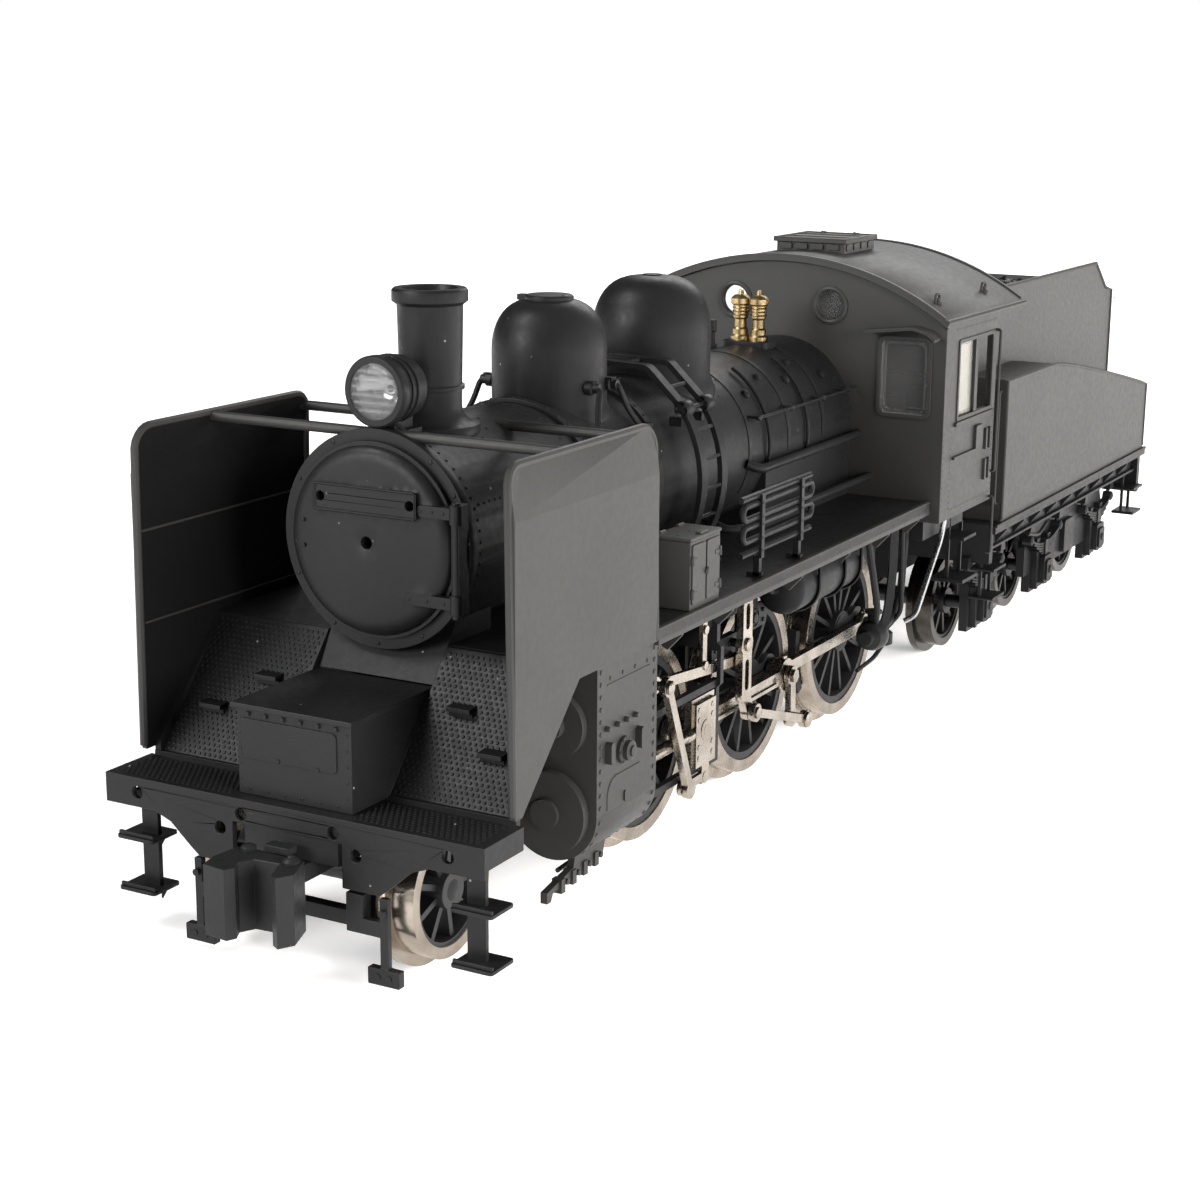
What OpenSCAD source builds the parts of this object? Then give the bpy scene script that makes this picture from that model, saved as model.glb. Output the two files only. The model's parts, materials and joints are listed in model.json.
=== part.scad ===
// Model steam locomotive with tender, track gauge 16.5 mm.
// Lengths run along Y from the face of the front buffer beam, heights run up from the rail top,
// and X is positive on the engine's left side.  placed() moves all of it to the part's own origin.

/* [Track and wheels] */
// Radius of the driving wheels at the tread
driver_r = 8.75; // [8.5:0.05:8.9]
// Radius of the leading and tender wheels at the tread
carrier_r = 5.3; // [5:0.05:5.4]
// Depth of the wheel flanges below the rail top
flange_depth = 0.9; // [0.6:0.05:1]
// Distance from the centre line to the back of a wheel
wheel_back_x = 7.2; // [7.1:0.05:7.3]
// Width of a wheel over tread and flange
wheel_w = 2.7; // [2.5:0.05:2.8]
// Distance between neighbouring driving axles
driver_pitch = 21.9; // [21.7:0.05:22.1]
// Middle driving axle behind the buffer beam
axle_2_y = 59.5; // [59.2:0.05:59.8]

/* [Motion] */
// Radius of the driving crank
crank_r = 3.8; // [3.5:0.05:3.9]
// Distance between the pins of a main rod
main_rod_l = 19.9; // [19.5:0.05:20.2]
// Running clearance of pins and axles, on radius
run_gap = 0.05; // [0.03:0.01:0.08]

/* [Engine body] */
// Half width of the buffer beam
beam_x = 17.3; // [17:0.05:17.4]
// Top of the buffer beam
beam_z = 12.2; // [12:0.05:12.4]
// Top of the running boards
board_z = 22.2; // [22.1:0.05:22.3]
// Centre line of the boiler
boiler_z = 30.2; // [30.15:0.05:30.3]
// Radius of the boiler cladding
boiler_r = 8; // [7.9:0.05:8]
// Radius of the smokebox
smokebox_r = 8.2; // [8.1:0.05:8.3]
// Top of the chimney
chimney_top = 48.8; // [48:0.1:49.5]
// Top of the deflector plates
deflector_top = 38.6; // [38:0.1:39]
// Half width of the cab
cab_x = 18.2; // [18:0.05:18.3]
// Front of the cab
cab_y0 = 86.5; // [86.4:0.05:86.6]
// Back of the cab sides
cab_y1 = 102; // [101.5:0.1:102.5]

/* [Tender] */
// Half width of the tender tank
tank_x = 17; // [16.8:0.05:17.1]
// Front of the tender tank
tank_y0 = 109.8; // [109.5:0.1:110]
// Back of the tender tank
tank_y1 = 167; // [166.8:0.1:167]
// Top of the tank at its front
tank_top = 31.7; // [31.5:0.1:32]
// Half width of the coal bunker
bunker_x = 11.5; // [11.3:0.1:11.7]
// Top of the coal bunker
bunker_top = 40.7; // [40.5:0.1:41]

/* [Hidden] */
$fn = 48;
EPS = 0.02;

// Running gear
axle_1_y = axle_2_y - driver_pitch;
axle_3_y = axle_2_y + driver_pitch;
pony_axle_y = 7.2;
pony_pivot_y = 24;
tender_axle_1_y = 113;
tender_axle_2_y = 135;
tender_axle_3_y = 157;
bogie_pivot_y = (tender_axle_2_y + tender_axle_3_y) / 2;
drawbar_front_y = 96;
drawbar_rear_y = 109.4;
coupler_pivot_y = 3.8;
coupler_tip_y = -6.2;
rear_beam_y = 167.8;
rear_coupler_pivot_y = rear_beam_y - coupler_pivot_y;
mid_y = (coupler_tip_y + rear_beam_y - coupler_tip_y) / 2;
wheel_face_x = wheel_back_x + wheel_w;
axle_r = 1.5;
driver_web_r = driver_r - 1.2;
crank_pin_r = 0.8;
boss_x = wheel_face_x + 0.25;

// Planes that the rods run in, each as [inner, outer]
coupling_x = [10.3, 11.1];
main_x = [11.2, 12];
return_x = [12.1, 12.7];
slide_bar_x = [12.15, 12.75];
crosshead_x = [12.8, 13.2];
link_x = [12.8, 13.5];
lever_x = [13.3, 13.9];
eccentric_x = [13.6, 14.2];

// Points of the motion at rest, as [y, z]
axle_2 = [axle_2_y, driver_r];
left_pin = [axle_2_y + crank_r, driver_r];
right_pin = [axle_2_y, driver_r + crank_r];
return_arm = [0.1, -4.15];
left_return_pin = left_pin + return_arm;
right_return_pin = right_pin + [-return_arm[1], return_arm[0]];
left_wrist = [left_pin[0] - main_rod_l, driver_r];
right_wrist = [right_pin[0] - sqrt(main_rod_l * main_rod_l - crank_r * crank_r), driver_r];
link_pivot = [51, 14.8];
link_foot = [52, 8.2];
eccentric_l = norm(left_return_pin - link_foot);
lever_pivot = [34.9, 14.8];
lever_foot = [39.3, 4.5];
cylinder_y0 = 18;
cylinder_y1 = 27.9;
cylinder_x = 12.2;
cylinder_r = 4.1;
piston_x = 12.65;
piston_rod_r = 0.55;
bracket_y = 46.2;
bracket_t = 0.6;

// Body outlines
board_t = 0.9;
deflector_x = 17.25;
deflector_t = 0.5;
deflector_y0 = 4.3;
deflector_y1 = 26.1;
deck_y0 = 5.7;
deck_y1 = 13.6;
headlight_z = 41.6;
roof_crown = 46.5;
eave_z = 40.7;
roof_x = cab_x + 0.2;
roof_rise = roof_crown - eave_z;
roof_r = (roof_x * roof_x + roof_rise * roof_rise) / (2 * roof_rise);
roof_t = 0.6;
roof_y1 = 110;
cab_t = 0.6;
cab_z0 = 20;
coupler_z = [3.7, 9.2];
shank_z = [6.7, 8.1];
gear_r = 6.4;
worm_r = 1.9;
worm_z = driver_r + gear_r + worm_r + 0.15;

// ---- helpers -------------------------------------------------------------------------------

module placed() {
    translate([0, -mid_y, flange_depth]) children();
}

module mirrored() {
    children();
    mirror([1, 0, 0]) children();
}

// Box between two corners
module block(from, to) {
    translate(from) cube(to - from);
}

// Cylinder along X, centred on a [y, z] point
module pin(point, r, x0, x1) {
    translate([x0, point[0], point[1]]) rotate([0, 90, 0]) cylinder(r = r, h = x1 - x0);
}

// Cylinder along Y, centred on an [x, z] point
module barrel(point, r, y0, y1) {
    translate([point[0], y1, point[1]]) rotate([90, 0, 0]) cylinder(r = r, h = y1 - y0);
}

// Outline in the YZ plane, extruded from x0 to x1
module side_plate(x0, x1) {
    translate([x0, 0, 0]) rotate([90, 0, 90]) linear_extrude(x1 - x0) children();
}

// Outline in the XZ plane, extruded from y0 to y1
module cross_plate(y0, y1) {
    translate([0, y1, 0]) rotate([90, 0, 0]) linear_extrude(y1 - y0) children();
}

// Flat bar between two [y, z] points, with an eye at each end
module bar(from, to, x, w, eye_r) {
    step = to - from;
    translate([x[0], from[0], from[1]]) rotate([atan2(step[1], step[0]), 0, 0])
        block([0, 0, -w / 2], [x[1] - x[0], norm(step), w / 2]);
    pin(from, eye_r, x[0], x[1]);
    pin(to, eye_r, x[0], x[1]);
}

// ---- chassis and drive ---------------------------------------------------------------------

module chassis() color("dimgray") placed() difference() {
    union() {
        block([-4.3, 0.52, 8.2], [4.3, 16.1, 11.56]);
        block([-6, 16, 7], [6, 100, 17.6]);
        block([-9.8, 17, 17.6], [9.8, 27, 21.28]);
        block([-11, 70, 17.6], [11, 73, 21.28]);
        block([-14, 97.5, 17.6], [14, 100, 19.98]);
        block([-6, 90, 17.6], [6, 100, 19.98]);
        translate([0, pony_pivot_y, 4.4]) cylinder(r = 1.4, h = 4);
        translate([0, coupler_pivot_y, 6.4]) cylinder(r = 0.8, h = 4);
        translate([0, drawbar_front_y, 5]) cylinder(r = 1.2, h = 4);
    }
    for (y = [axle_1_y, axle_2_y, axle_3_y]) {
        pin([y, driver_r], axle_r + run_gap, -7, 7);
    }
    block([-1.6, axle_2_y - 7.2, 1], [1.6, axle_2_y + 7.2, 19]);
    block([-2.6, axle_2_y - 8, worm_z - 2.4], [2.6, axle_2_y + 8.1, 19]);
    block([-5.05, axle_2_y + 8, 11.98], [5.05, axle_2_y + 28, 21.5]);
    for (y = [32, 50, 70, 88]) {
        translate([0, y, 5]) cylinder(r = 0.7, h = 5);
    }
}

module keeper_plate() color([0.16, 0.16, 0.17]) placed() difference() {
    block([-5.8, 29, 6.2], [5.8, 91, 6.98]);
    block([-1.6, axle_2_y - 7.2, 1], [1.6, axle_2_y + 7.2, 9]);
    for (y = [32, 50, 70, 88]) {
        translate([0, y, 5]) cylinder(r = 0.7, h = 5);
    }
}

module keeper_screws() color("silver") placed() for (y = [32, 50, 70, 88]) {
    difference() {
        union() {
            translate([0, y, 5.7]) cylinder(r = 1.2, h = 0.48);
            translate([0, y, 6]) cylinder(r = 0.7, h = 3.9);
        }
        block([-1.3, y - 0.15, 5.5], [1.3, y + 0.15, 5.95]);
    }
}

module motor() color("slategray") placed() difference() {
    union() {
        block([-5, axle_2_y + 9, 12], [5, axle_2_y + 27, 21.2]);
        barrel([0, worm_z], 2.2, axle_2_y + 8.2, axle_2_y + 9.1);
    }
    barrel([0, worm_z], 0.8, axle_2_y + 8, axle_2_y + 13);
}

module worm_shaft() color("goldenrod") placed() {
    barrel([0, worm_z], 0.75, axle_2_y - 7.6, axle_2_y + 12.8);
    barrel([0, worm_z], worm_r, axle_2_y - 5, axle_2_y + 5);
}

// Outline of a straight-toothed wheel, three points to a tooth
gear_outline = [for (tooth = [0 : 23], k = [[-3.6, 0.8], [-1.6, 0], [1.6, 0]])
    (gear_r - k[1]) * [cos(tooth * 15 + k[0]), sin(tooth * 15 + k[0])]];

module drive_gear() color("peru") placed()
    translate([-1.4, axle_2[0], axle_2[1]]) rotate([90, 0, 90]) linear_extrude(2.8) difference() {
        polygon(gear_outline);
        circle(r = axle_r);
    }

module ballast_weight() color("gray") placed() intersection() {
    barrel([0, boiler_z], boiler_r - 1.1, 33, 62);
    block([-8, 33, boiler_z - 5], [8, 62, boiler_z + 7]);
}

// ---- wheels --------------------------------------------------------------------------------

// Tyre ring on the left side, tread and flange
module tyre(y, r, web_r) {
    difference() {
        union() {
            pin([y, r], r, wheel_back_x, wheel_face_x);
            pin([y, r], r + flange_depth, wheel_back_x, wheel_back_x + 0.8);
        }
        pin([y, r], web_r, wheel_back_x - 1, wheel_face_x + 1);
    }
}

// Spoked centre on the left side; pin_angle is where its crank pin stands, pin_x where that ends
module driver_centre(y, pin_angle, pin_x) {
    crank = [y + crank_r * cos(pin_angle), driver_r + crank_r * sin(pin_angle)];
    difference() {
        pin([y, driver_r], driver_web_r, wheel_back_x + 0.3, wheel_face_x - 0.1);
        pin([y, driver_r], driver_web_r - 0.7, wheel_back_x, wheel_face_x + 1);
    }
    for (spoke = [0 : 13]) {
        translate([0, y, driver_r]) rotate([spoke * 360 / 14, 0, 0])
            block([wheel_back_x + 0.75, 1.8, -0.24], [wheel_face_x - 0.45, driver_web_r - 0.4, 0.24]);
    }
    pin([y, driver_r], 2.1, wheel_back_x, wheel_face_x + 0.1);
    bar([y, driver_r], crank, [wheel_back_x + 0.7, boss_x - 0.1], 2.6, 1.8);
    pin(crank, crank_pin_r, wheel_face_x, pin_x);
}

module driver_set(y, pin_x) {
    pin([y, driver_r], axle_r, -wheel_back_x - 1, wheel_back_x + 1);
    driver_centre(y, 0, pin_x);
    mirror([1, 0, 0]) driver_centre(y, 90, pin_x);
}

module wheels_1() color([0.1, 0.1, 0.1]) placed() driver_set(axle_1_y, coupling_x[1] + 0.05);
module wheels_2() color([0.1, 0.1, 0.1]) placed() driver_set(axle_2_y, return_x[0]);
module wheels_3() color([0.1, 0.1, 0.1]) placed() driver_set(axle_3_y, coupling_x[1] + 0.3);

module driver_tyres(y) mirrored() tyre(y, driver_r, driver_web_r);
module tyres_1() color("tan") placed() driver_tyres(axle_1_y);
module tyres_2() color("tan") placed() driver_tyres(axle_2_y);
module tyres_3() color("tan") placed() driver_tyres(axle_3_y);

// Leading or tender wheelset: tyres, spoked centres and an axle whose journals end at axle_x
module carrier_set(y, axle_x, journal_r) {
    web_r = carrier_r - 0.9;
    pin([y, carrier_r], 1, -wheel_face_x, wheel_face_x);
    pin([y, carrier_r], journal_r, -axle_x, axle_x);
    mirrored() {
        tyre(y, carrier_r, web_r);
        pin([y, carrier_r], 1.5, wheel_back_x, wheel_face_x + 0.1);
        difference() {
            pin([y, carrier_r], web_r + 0.2, wheel_back_x + 0.4, wheel_face_x - 0.2);
            pin([y, carrier_r], web_r - 0.35, wheel_back_x, wheel_face_x + 1);
        }
        for (spoke = [0 : 8]) {
            translate([0, y, carrier_r]) rotate([spoke * 40, 0, 0])
                block([wheel_back_x + 0.8, 0.8, -0.25], [wheel_face_x - 0.5, web_r - 0.2, 0.25]);
        }
    }
}

module pony_wheels() color("tan") placed() carrier_set(pony_axle_y, wheel_face_x, 1);
module tender_wheels_1() color("tan") placed() carrier_set(tender_axle_1_y, 12.9, 0.75);
module tender_wheels_2() color("tan") placed() carrier_set(tender_axle_2_y, 12.9, 0.75);
module tender_wheels_3() color("tan") placed() carrier_set(tender_axle_3_y, 12.9, 0.75);

// ---- rods and valve gear -------------------------------------------------------------------

module coupling_rod(height) {
    eyes = [for (y = [axle_1_y, axle_2_y, axle_3_y]) [y + height[0], driver_r + height[1]]];
    difference() {
        union() {
            bar(eyes[0], eyes[2], coupling_x, 1.2, 1.25);
            pin(eyes[1], 1.5, coupling_x[0], coupling_x[1]);
        }
        for (eye = eyes) {
            pin(eye, crank_pin_r + run_gap, coupling_x[0] - 1, coupling_x[1] + 1);
        }
    }
}

module left_coupling_rod() color("silver") placed() coupling_rod([crank_r, 0]);
module right_coupling_rod() color("silver") placed() mirror([1, 0, 0]) coupling_rod([0, crank_r]);

module main_rod(big_end, small_end) {
    step = big_end - small_end;
    difference() {
        union() {
            bar(small_end, big_end, main_x, 1.4, 1.15);
            pin(big_end, 1.6, main_x[0], main_x[1]);
        }
        pin(big_end, crank_pin_r + run_gap, main_x[0] - 1, main_x[1] + 1);
        translate([main_x[1] - 0.2, small_end[0], small_end[1]])
            rotate([atan2(step[1], step[0]), 0, 0]) block([0, 2, -0.35], [1, norm(step) - 2.4, 0.35]);
    }
}

module left_main_rod() color("silver") placed() main_rod(left_pin, left_wrist);
module right_main_rod() color("silver") placed() mirror([1, 0, 0]) main_rod(right_pin, right_wrist);

module return_crank(main_pin, return_pin) {
    bar(main_pin, return_pin, return_x, 1.1, 0.95);
    pin(return_pin, 0.5, return_x[0], eccentric_x[0] - 0.05);
}

module return_cranks() color("silver") placed() {
    return_crank(left_pin, left_return_pin);
    mirror([1, 0, 0]) return_crank(right_pin, right_return_pin);
}

// The eccentric rod hangs on the link's foot pin
module eccentric_rod(foot, return_pin) {
    difference() {
        bar(foot, return_pin, eccentric_x, 0.8, 0.85);
        pin(foot, 0.45 + run_gap, eccentric_x[0] - 1, eccentric_x[1] + 1);
    }
}

// Foot of the right link, which stands a little forward because its crank is a quarter turn on
right_foot_dz = right_return_pin[1] - link_foot[1];
right_foot = [right_return_pin[0] - sqrt(eccentric_l * eccentric_l - right_foot_dz * right_foot_dz),
    link_foot[1]];

module left_eccentric_rod() color("silver") placed() eccentric_rod(link_foot, left_return_pin);
module right_eccentric_rod() color("silver") placed() mirror([1, 0, 0])
    eccentric_rod(right_foot, right_return_pin);

module expansion_link(foot) {
    difference() {
        union() {
            bar([link_pivot[0], 10.2], [link_pivot[0], 18.4], link_x, 1.9, 0.95);
            pin(link_pivot, 1.15, link_x[0], link_x[1]);
            bar([link_pivot[0], 10.2], foot, link_x, 1.3, 0.8);
        }
        pin(link_pivot, 0.4 + run_gap, link_x[0] - 1, link_x[1] + 1);
        bar([link_pivot[0], 10.9], [link_pivot[0], 13], [link_x[0] - 1, link_x[1] + 1], 0.8, 0.4);
        bar([link_pivot[0], 16.6], [link_pivot[0], 18.2], [link_x[0] - 1, link_x[1] + 1], 0.8, 0.4);
    }
    pin(foot, 0.45, link_x[1] - 0.3, eccentric_x[1] + 0.05);
}

module left_expansion_link() color("silver") placed() expansion_link(link_foot);
module right_expansion_link() color("silver") placed() mirror([1, 0, 0]) expansion_link(right_foot);

module combination_lever(foot) {
    difference() {
        bar(lever_pivot, foot, lever_x, 0.9, 0.85);
        pin(lever_pivot, 0.4 + run_gap, lever_x[0] - 1, lever_x[1] + 1);
    }
}

// The right lever stands where its crosshead has brought it
right_lever_foot = [lever_foot[0] + right_wrist[0] - left_wrist[0], lever_foot[1]];

module left_combination_lever() color("silver") placed() combination_lever(lever_foot);
module right_combination_lever() color("silver") placed() mirror([1, 0, 0])
    combination_lever(right_lever_foot);

module radius_rods() color("silver") placed() mirrored() {
    bar(lever_pivot, [link_pivot[0], 13.2], [12.15, 12.65], 0.9, 0.75);
    pin(lever_pivot, 0.4, 12.3, lever_x[1] + 0.05);
    block([12.2, 43.7, 13.9], [12.6, 44.5, 21.28]);
    barrel([12.4, lever_pivot[1]], 0.4, cylinder_y1 + 0.02, lever_pivot[0]);
}

module crosshead(wrist) {
    block([slide_bar_x[0], wrist[0] - 2.2, 5.65], [slide_bar_x[1] + 0.1, wrist[0] + 2.2, 11.85]);
    block([crosshead_x[0], wrist[0] - 1.9, 5.6], [crosshead_x[1], wrist[0] + 1.9, 11.4]);
    block([crosshead_x[0], wrist[0] - 0.7, 3.9], [crosshead_x[1], wrist[0] + 0.7, 6]);
    bar([wrist[0] - 4.1, lever_foot[1]], [wrist[0], lever_foot[1]], crosshead_x, 0.8, 0.7);
    pin(wrist, 0.5, main_x[1] + 0.05, slide_bar_x[0] + 0.2);
    pin(wrist, 0.95, crosshead_x[0], crosshead_x[1] + 0.05);
    barrel([piston_x, driver_r], piston_rod_r, wrist[0] - 17.2, wrist[0] - 2);
}

module left_crosshead() color("silver") placed() crosshead(left_wrist);
module right_crosshead() color("silver") placed() mirror([1, 0, 0]) crosshead(right_wrist);

module motion_brackets() color([0.2, 0.2, 0.2]) placed() mirrored() {
    for (z = [5.27, 12.25]) {
        block([slide_bar_x[0], cylinder_y1 + 0.02, z - 0.33], [slide_bar_x[1], bracket_y, z + 0.33]);
    }
    cross_plate(bracket_y, bracket_y + bracket_t) polygon([[6.02, 21.28], [12.75, 21.28], [12.75, 16],
        [13.15, 15.6], [13.15, 12.2], [12.75, 11.8], [12.75, 4.94], [12.15, 4.94], [12.15, 12.6],
        [12.75, 12.6], [12.75, 15.2], [6.02, 15.2]]);
    block([11.3, bracket_y + bracket_t - 0.1, 14], [12, link_pivot[0] + 0.8, 15.6]);
    pin(link_pivot, 0.4, 11.9, link_x[1] + 0.05);
}

module steam_cylinder() {
    difference() {
        union() {
            cross_plate(cylinder_y0, cylinder_y1) union() {
                translate([cylinder_x, driver_r]) circle(r = cylinder_r);
                translate([cylinder_x - cylinder_r, driver_r])
                    square([2 * cylinder_r, 21.28 - driver_r]);
            }
            barrel([cylinder_x, driver_r], 3.4, cylinder_y0 - 0.8, cylinder_y0);
            barrel([cylinder_x, driver_r], 1.2, cylinder_y0 - 1.2, cylinder_y0);
            barrel([cylinder_x + 0.6, 16], 2.6, cylinder_y0 - 0.7, cylinder_y0);
            barrel([cylinder_x + 0.6, 16], 1, cylinder_y0 - 1.4, cylinder_y0);
        }
        barrel([piston_x, driver_r], piston_rod_r + run_gap, cylinder_y0, cylinder_y1 + 1);
        block([5, cylinder_y0 - 2, 17.6], [9.82, cylinder_y1 + 1, 22]);
    }
}

module left_cylinder() color([0.25, 0.25, 0.24]) placed() steam_cylinder();
module right_cylinder() color([0.25, 0.25, 0.24]) placed() mirror([1, 0, 0]) steam_cylinder();

// ---- front end -----------------------------------------------------------------------------

module buffer_beam() color([0.17, 0.17, 0.17]) placed() difference() {
    union() {
        cross_plate(0, 0.5) polygon([[-beam_x, beam_z], [beam_x, beam_z], [beam_x, 9.8],
            [12.6, 9.8], [11, 9.2], [9.3, 7.7], [8.3, 6.9], [5, 6.9], [5, 10.3], [-5, 10.3],
            [-5, 6.9], [-8.3, 6.9], [-9.3, 7.7], [-11, 9.2], [-12.6, 9.8], [-beam_x, 9.8]]);
        block([-beam_x, 0.4, beam_z - 0.6], [beam_x, 5.4, beam_z]);
        mirrored() block([beam_x - 0.6, 0.4, 10.4], [beam_x, 5.4, beam_z]);
    }
    for (x = [-14.2, -4.2, 4.2, 14.2]) {
        barrel([x, 11], 0.5, -1, 1);
    }
    barrel([6.2, 9.6], 0.5, -1, 1);
    barrel([-6.2, 9.6], 0.5, -1, 1);
}

module front_deck() color([0.15, 0.15, 0.15]) placed() difference() {
    side_plate(-deflector_x + deflector_t + EPS, deflector_x - deflector_t - EPS)
        polygon([[deck_y0 - 0.2, beam_z + 0.3], [deck_y0 + 0.5, beam_z + 0.3],
            [deck_y1 + 0.38, board_z - 0.9], [deck_y1 + 0.38, board_z], [deck_y1 - 0.1, board_z]]);
    block([-5.52, 0, 10], [5.52, 20, 24]);
}

module cylinder_lid_box() color([0.13, 0.13, 0.13]) placed() {
    block([-5.2, 1.2, beam_z + EPS], [5.2, 11.8, 19.02]);
    block([-5.5, 0.8, 19], [5.5, 11.86, 19.4]);
}

module smokebox() color([0.12, 0.12, 0.12]) placed() difference() {
    union() {
        barrel([0, boiler_z], smokebox_r, 12.6, 31);
        barrel([0, boiler_z], smokebox_r + 0.4, 12.3, 13.3);
        side_plate(-5.5, 5.5) polygon([[11.9, 19.5], [13.95, 19.5], [13.95, board_z + EPS],
            [20, board_z + EPS], [20, 24], [14.9, 24]]);
    }
    barrel([0, boiler_z], smokebox_r - 1, 13.6, 30);
}

module smokebox_door() color([0.1, 0.1, 0.1]) placed() difference() {
    union() {
        translate([0, 12.28, boiler_z]) rotate([90, 0, 0]) rotate_extrude()
            polygon(concat([[0, 0], [7.7, 0], [7.7, 0.45]],
                [for (a = [0 : 15 : 90]) [6.2 + 1.2 * cos(a), 0.45 + 0.75 * sin(a)]], [[0, 1.35]]));
        block([-4.6, 10.75, 32.5], [4.6, 12, 34.5]);
        block([3.9, 10.9, 25.85], [8.2, 11.6, 26.75]);
        block([5, 10.9, 32.75], [8.2, 11.6, 33.65]);
        block([7.7, 10.9, 25.4], [8.4, 12.28, 33.9]);
    }
    for (x = [-4.1, 4.1]) {
        barrel([x, 33.5], 0.4, 10, 13);
    }
    barrel([0, boiler_z], 0.5, 10, 13);
}

module headlight() color([0.12, 0.12, 0.12]) placed() difference() {
    union() {
        translate([0, 12.4, headlight_z]) rotate([-90, 0, 0]) rotate_extrude()
            polygon(concat([[0, 0], [2.75, 0], [2.75, 0.7], [2.55, 0.7], [2.55, 3]],
                [for (a = [0 : 15 : 75]) [2.55 * cos(a), 3 + 1.8 * sin(a)]], [[0, 4.8]]));
        block([-1, 13.5, 37.5], [1, 16, 39.6]);
        block([-1.8, 13.4, 37.5], [1.8, 16.1, 38.6]);
    }
    barrel([0, headlight_z], 2.25, 12, 15);
    barrel([0, boiler_z], smokebox_r + EPS / 2, 10, 20);
}

module headlight_lens() color([0.85, 0.9, 0.92, 0.6]) placed()
    translate([0, 12.95, headlight_z]) rotate([90, 0, 0]) rotate_extrude()
        polygon([[0, 0], [2.25, 0], [2.25, 0.6], [1.6, 0.82], [0, 0.95]]);

module chimney() color([0.1, 0.1, 0.1]) placed() difference() {
    translate([0, 20.1, 0]) rotate_extrude()
        polygon(concat([[0, 36.5], [3.9, 36.5], [3.9, 38.2]],
            [for (a = [0 : 15 : 90]) [3.8 - 1.35 * sin(a), 39.6 - 1.35 * cos(a)]],
            [[2.45, 40], [2.6, chimney_top - 1.3], [3, chimney_top - 1], [3, chimney_top - 0.2],
            [2.85, chimney_top], [0, chimney_top]]));
    translate([0, 20.1, 41]) cylinder(r = 2.2, h = 10);
    barrel([0, boiler_z], smokebox_r + EPS / 2, 10, 30);
}

// ---- boiler --------------------------------------------------------------------------------

module boiler() color([0.14, 0.14, 0.14]) placed() difference() {
    union() {
        barrel([0, boiler_z], boiler_r, 31 + EPS, cab_y0 - EPS);
        block([-boiler_r, 66, board_z + EPS], [boiler_r, cab_y0 - EPS, boiler_z]);
    }
    barrel([0, boiler_z], boiler_r - 1, 32, cab_y0 - 2);
}

// Dome on the boiler: a straight wall with a flared foot, closed by an elliptical cap
module dome(y, r, top, cap_h) {
    difference() {
        translate([0, y, 0]) rotate_extrude()
            polygon(concat([[0, 34.5], [r + 0.5, 34.5], [r + 0.5, 36.4], [r, 37.6]],
                [for (a = [0 : 7.5 : 82.5]) [r * pow(cos(a), 0.62), top - cap_h + cap_h * sin(a)]],
                [[0, top]]));
        barrel([0, boiler_z], boiler_r + EPS / 2, y - 10, y + 10);
    }
}

module sand_dome() color([0.12, 0.12, 0.12]) placed() dome(38.5, 4.95, 46.4, 4.4);
module steam_dome() color([0.12, 0.12, 0.12]) placed() dome(57.3, 5.5, 46.8, 5);

module running_boards() color([0.16, 0.16, 0.16]) placed() difference() {
    union() {
        block([-deflector_x + deflector_t + EPS, 14, board_z - board_t],
            [deflector_x - deflector_t - EPS, cab_y0 - EPS, board_z]);
        mirrored() block([15, deflector_y1 + 0.1, board_z - board_t],
            [deflector_x, cab_y0 - EPS, board_z]);
    }
    block([-5.3, 65, 20], [5.3, 90, board_z - 0.3]);
    barrel([0, boiler_z], smokebox_r + EPS, 12, 31.5);
}

// Quarter of a corner arc about [y, z], from one angle to the next
function corner(centre, r, a0) = [for (a = [a0 : 15 : a0 + 90]) centre + r * [cos(a), sin(a)]];

module deflector() {
    outer = deflector_x;
    inner = deflector_x - deflector_t;
    arc_z = deflector_top - 1.6;
    intersection() {
        cross_plate(0, 40) polygon([[outer, 10], [outer, deflector_top - 3.8],
            [outer - 0.7, deflector_top + 1], [inner - 0.7, deflector_top + 1],
            [inner, deflector_top - 3.8], [inner, 10]]);
        side_plate(10, 20) polygon(concat([[deflector_y0, 12.9], [deflector_y0 + 1, 12.9],
            [deck_y1, board_z - board_t], [deflector_y1, board_z - board_t]],
            corner([deflector_y1 - 1.6, arc_z], 1.6, 0), corner([deflector_y0 + 1.6, arc_z], 1.6, 90)));
    }
}

module left_deflector() color([0.2, 0.2, 0.2]) placed() deflector();
module right_deflector() color([0.2, 0.2, 0.2]) placed() mirror([1, 0, 0]) deflector();

module toolbox() color([0.18, 0.18, 0.18]) placed() {
    block([13.4, 32.7, board_z + EPS], [16.7, 38.2, 28]);
    block([13.3, 32.6, 28], [16.8, 38.3, 28.3]);
}

module air_tanks() color([0.13, 0.13, 0.13]) placed() mirrored() {
    translate([13.75, 56.5, 18.7]) rotate([-90, 0, 0]) rotate_extrude()
        polygon(concat([[0, 0]], [for (a = [15 : 15 : 90]) [2.45 * sin(a), 1 - cos(a)]],
            [for (a = [90 : -15 : 15]) [2.45 * sin(a), 15 + cos(a)]], [[0, 16]]));
    for (y = [60, 70]) {
        difference() {
            block([13.35, y, 18.7], [14.15, y + 0.8, board_z - board_t - EPS]);
            barrel([13.75, 18.7], 1, y - 1, y + 2);
        }
    }
}

// ---- cab -----------------------------------------------------------------------------------

module cab_section(inset) {
    intersection() {
        translate([-cab_x + inset, cab_z0]) square([2 * (cab_x - inset), 40]);
        translate([0, roof_crown - roof_r]) circle(r = roof_r - roof_t - EPS, $fn = 96);
    }
}

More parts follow.
